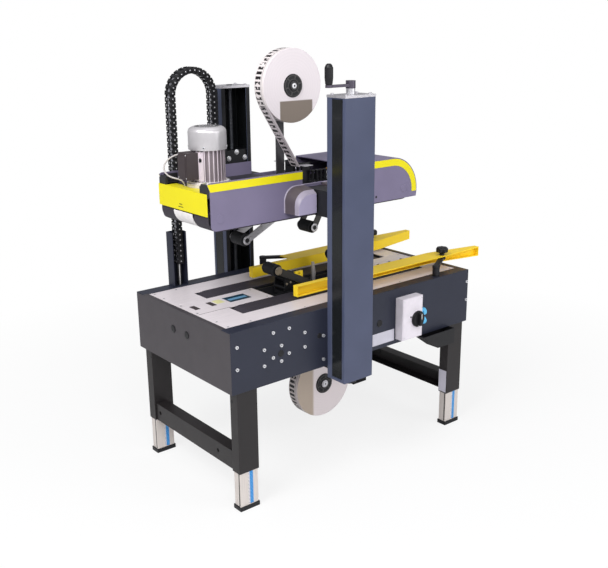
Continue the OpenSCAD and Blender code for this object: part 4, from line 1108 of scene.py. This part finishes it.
# Floor, light and camera
floor_mesh = bpy.data.meshes.new("floor")
grid = bmesh.new()
bmesh.ops.create_grid(grid, x_segments=8, y_segments=8, size=30)
grid.to_mesh(floor_mesh)
grid.free()
floor = bpy.data.objects.new("floor", floor_mesh)
bpy.context.scene.collection.objects.link(floor)
ground = bpy.data.materials.new("floor_white")
ground.use_nodes = True
tree = ground.node_tree
tree.nodes.clear()
out = tree.nodes.new("ShaderNodeOutputMaterial")
paths = tree.nodes.new("ShaderNodeLightPath")
plain = tree.nodes.new("ShaderNodeBsdfDiffuse")
plain.inputs["Color"].default_value = (0.82, 0.82, 0.82, 1)
lit = tree.nodes.new("ShaderNodeEmission")
lit.inputs["Color"].default_value = (1, 1, 1, 1)
lit.inputs["Strength"].default_value = 1.0
faint = tree.nodes.new("ShaderNodeMixShader")
where = tree.nodes.new("ShaderNodeTexCoord")
reach = tree.nodes.new("ShaderNodeVectorMath")
reach.operation = "LENGTH"
fade = tree.nodes.new("ShaderNodeMapRange")
fade.inputs["From Min"].default_value = 0.7
fade.inputs["From Max"].default_value = 2.2
fade.inputs["To Min"].default_value = 0.8
fade.inputs["To Max"].default_value = 1.0
tree.links.new(where.outputs["Object"], reach.inputs[0])
tree.links.new(reach.outputs["Value"], fade.inputs["Value"])
tree.links.new(fade.outputs[0], faint.inputs[0])
seen = tree.nodes.new("ShaderNodeMixShader")
tree.links.new(plain.outputs[0], faint.inputs[1])
tree.links.new(lit.outputs[0], faint.inputs[2])
tree.links.new(paths.outputs["Is Camera Ray"], seen.inputs[0])
tree.links.new(plain.outputs[0], seen.inputs[1])
tree.links.new(faint.outputs[0], seen.inputs[2])
tree.links.new(seen.outputs[0], out.inputs["Surface"])
floor_mesh.materials.append(ground)

world = bpy.data.worlds.new("studio")
bpy.context.scene.world = world
world.use_nodes = True
tree = world.node_tree
tree.nodes.clear()
out = tree.nodes.new("ShaderNodeOutputWorld")
paths = tree.nodes.new("ShaderNodeLightPath")
soft_sky = tree.nodes.new("ShaderNodeBackground")
soft_sky.inputs["Color"].default_value = (0.96, 0.97, 1.0, 1)
soft_sky.inputs["Strength"].default_value = 0.36
white_sky = tree.nodes.new("ShaderNodeBackground")
white_sky.inputs["Color"].default_value = (1, 1, 1, 1)
white_sky.inputs["Strength"].default_value = 1.0
choose = tree.nodes.new("ShaderNodeMixShader")
tree.links.new(paths.outputs["Is Camera Ray"], choose.inputs[0])
tree.links.new(soft_sky.outputs[0], choose.inputs[1])
tree.links.new(white_sky.outputs[0], choose.inputs[2])
tree.links.new(choose.outputs[0], out.inputs["Surface"])


def lamp(name, place, target, size, power):
    light = bpy.data.lights.new(name, "AREA")
    light.shape = "DISK"
    light.size = size
    light.energy = power
    obj = bpy.data.objects.new(name, light)
    bpy.context.scene.collection.objects.link(obj)
    obj.location = place
    aim = Vector(target) - Vector(place)
    obj.rotation_euler = aim.to_track_quat("-Z", "Y").to_euler()


lamp("key", (-3.2, -0.8, 3.6), (0, 0, 0.7), 2.0, 130)
lamp("front", (1.5, -3.6, 1.9), (0.1, 0, 0.7), 2.4, 48)
lamp("fill", (-1.6, -3.3, 2.9), (0, 0, 0.7), 2.4, 70)
lamp("top", (0.2, -0.2, 4.2), (0, 0, 0.6), 2.4, 15)

CAMERA_PLACE = (-1.96606, -2.28867, 1.48101)
CAMERA_AIM = (0.60513, 0.74314, -0.28560)
CAMERA_ROLL = -0.589
forward = Vector(CAMERA_AIM).normalized()
right = Vector((forward.y, -forward.x, 0)).normalized()
above = right.cross(forward)
roll = math.radians(CAMERA_ROLL)
right, above = (
    right * math.cos(roll) + above * math.sin(roll),
    above * math.cos(roll) - right * math.sin(roll),
)
camera = bpy.data.objects.new("camera", bpy.data.cameras.new("camera"))
bpy.context.scene.collection.objects.link(camera)
camera.data.sensor_fit = "HORIZONTAL"
camera.data.sensor_width = 36.0
camera.data.lens = 50.74
camera.data.clip_start = 0.05
camera.data.clip_end = 100.0
turn = Matrix((right, above, -forward)).transposed()
camera.matrix_world = Matrix.Translation(CAMERA_PLACE) @ turn.to_4x4()
bpy.context.scene.camera = camera
bpy.context.scene.view_settings.view_transform = "Standard"
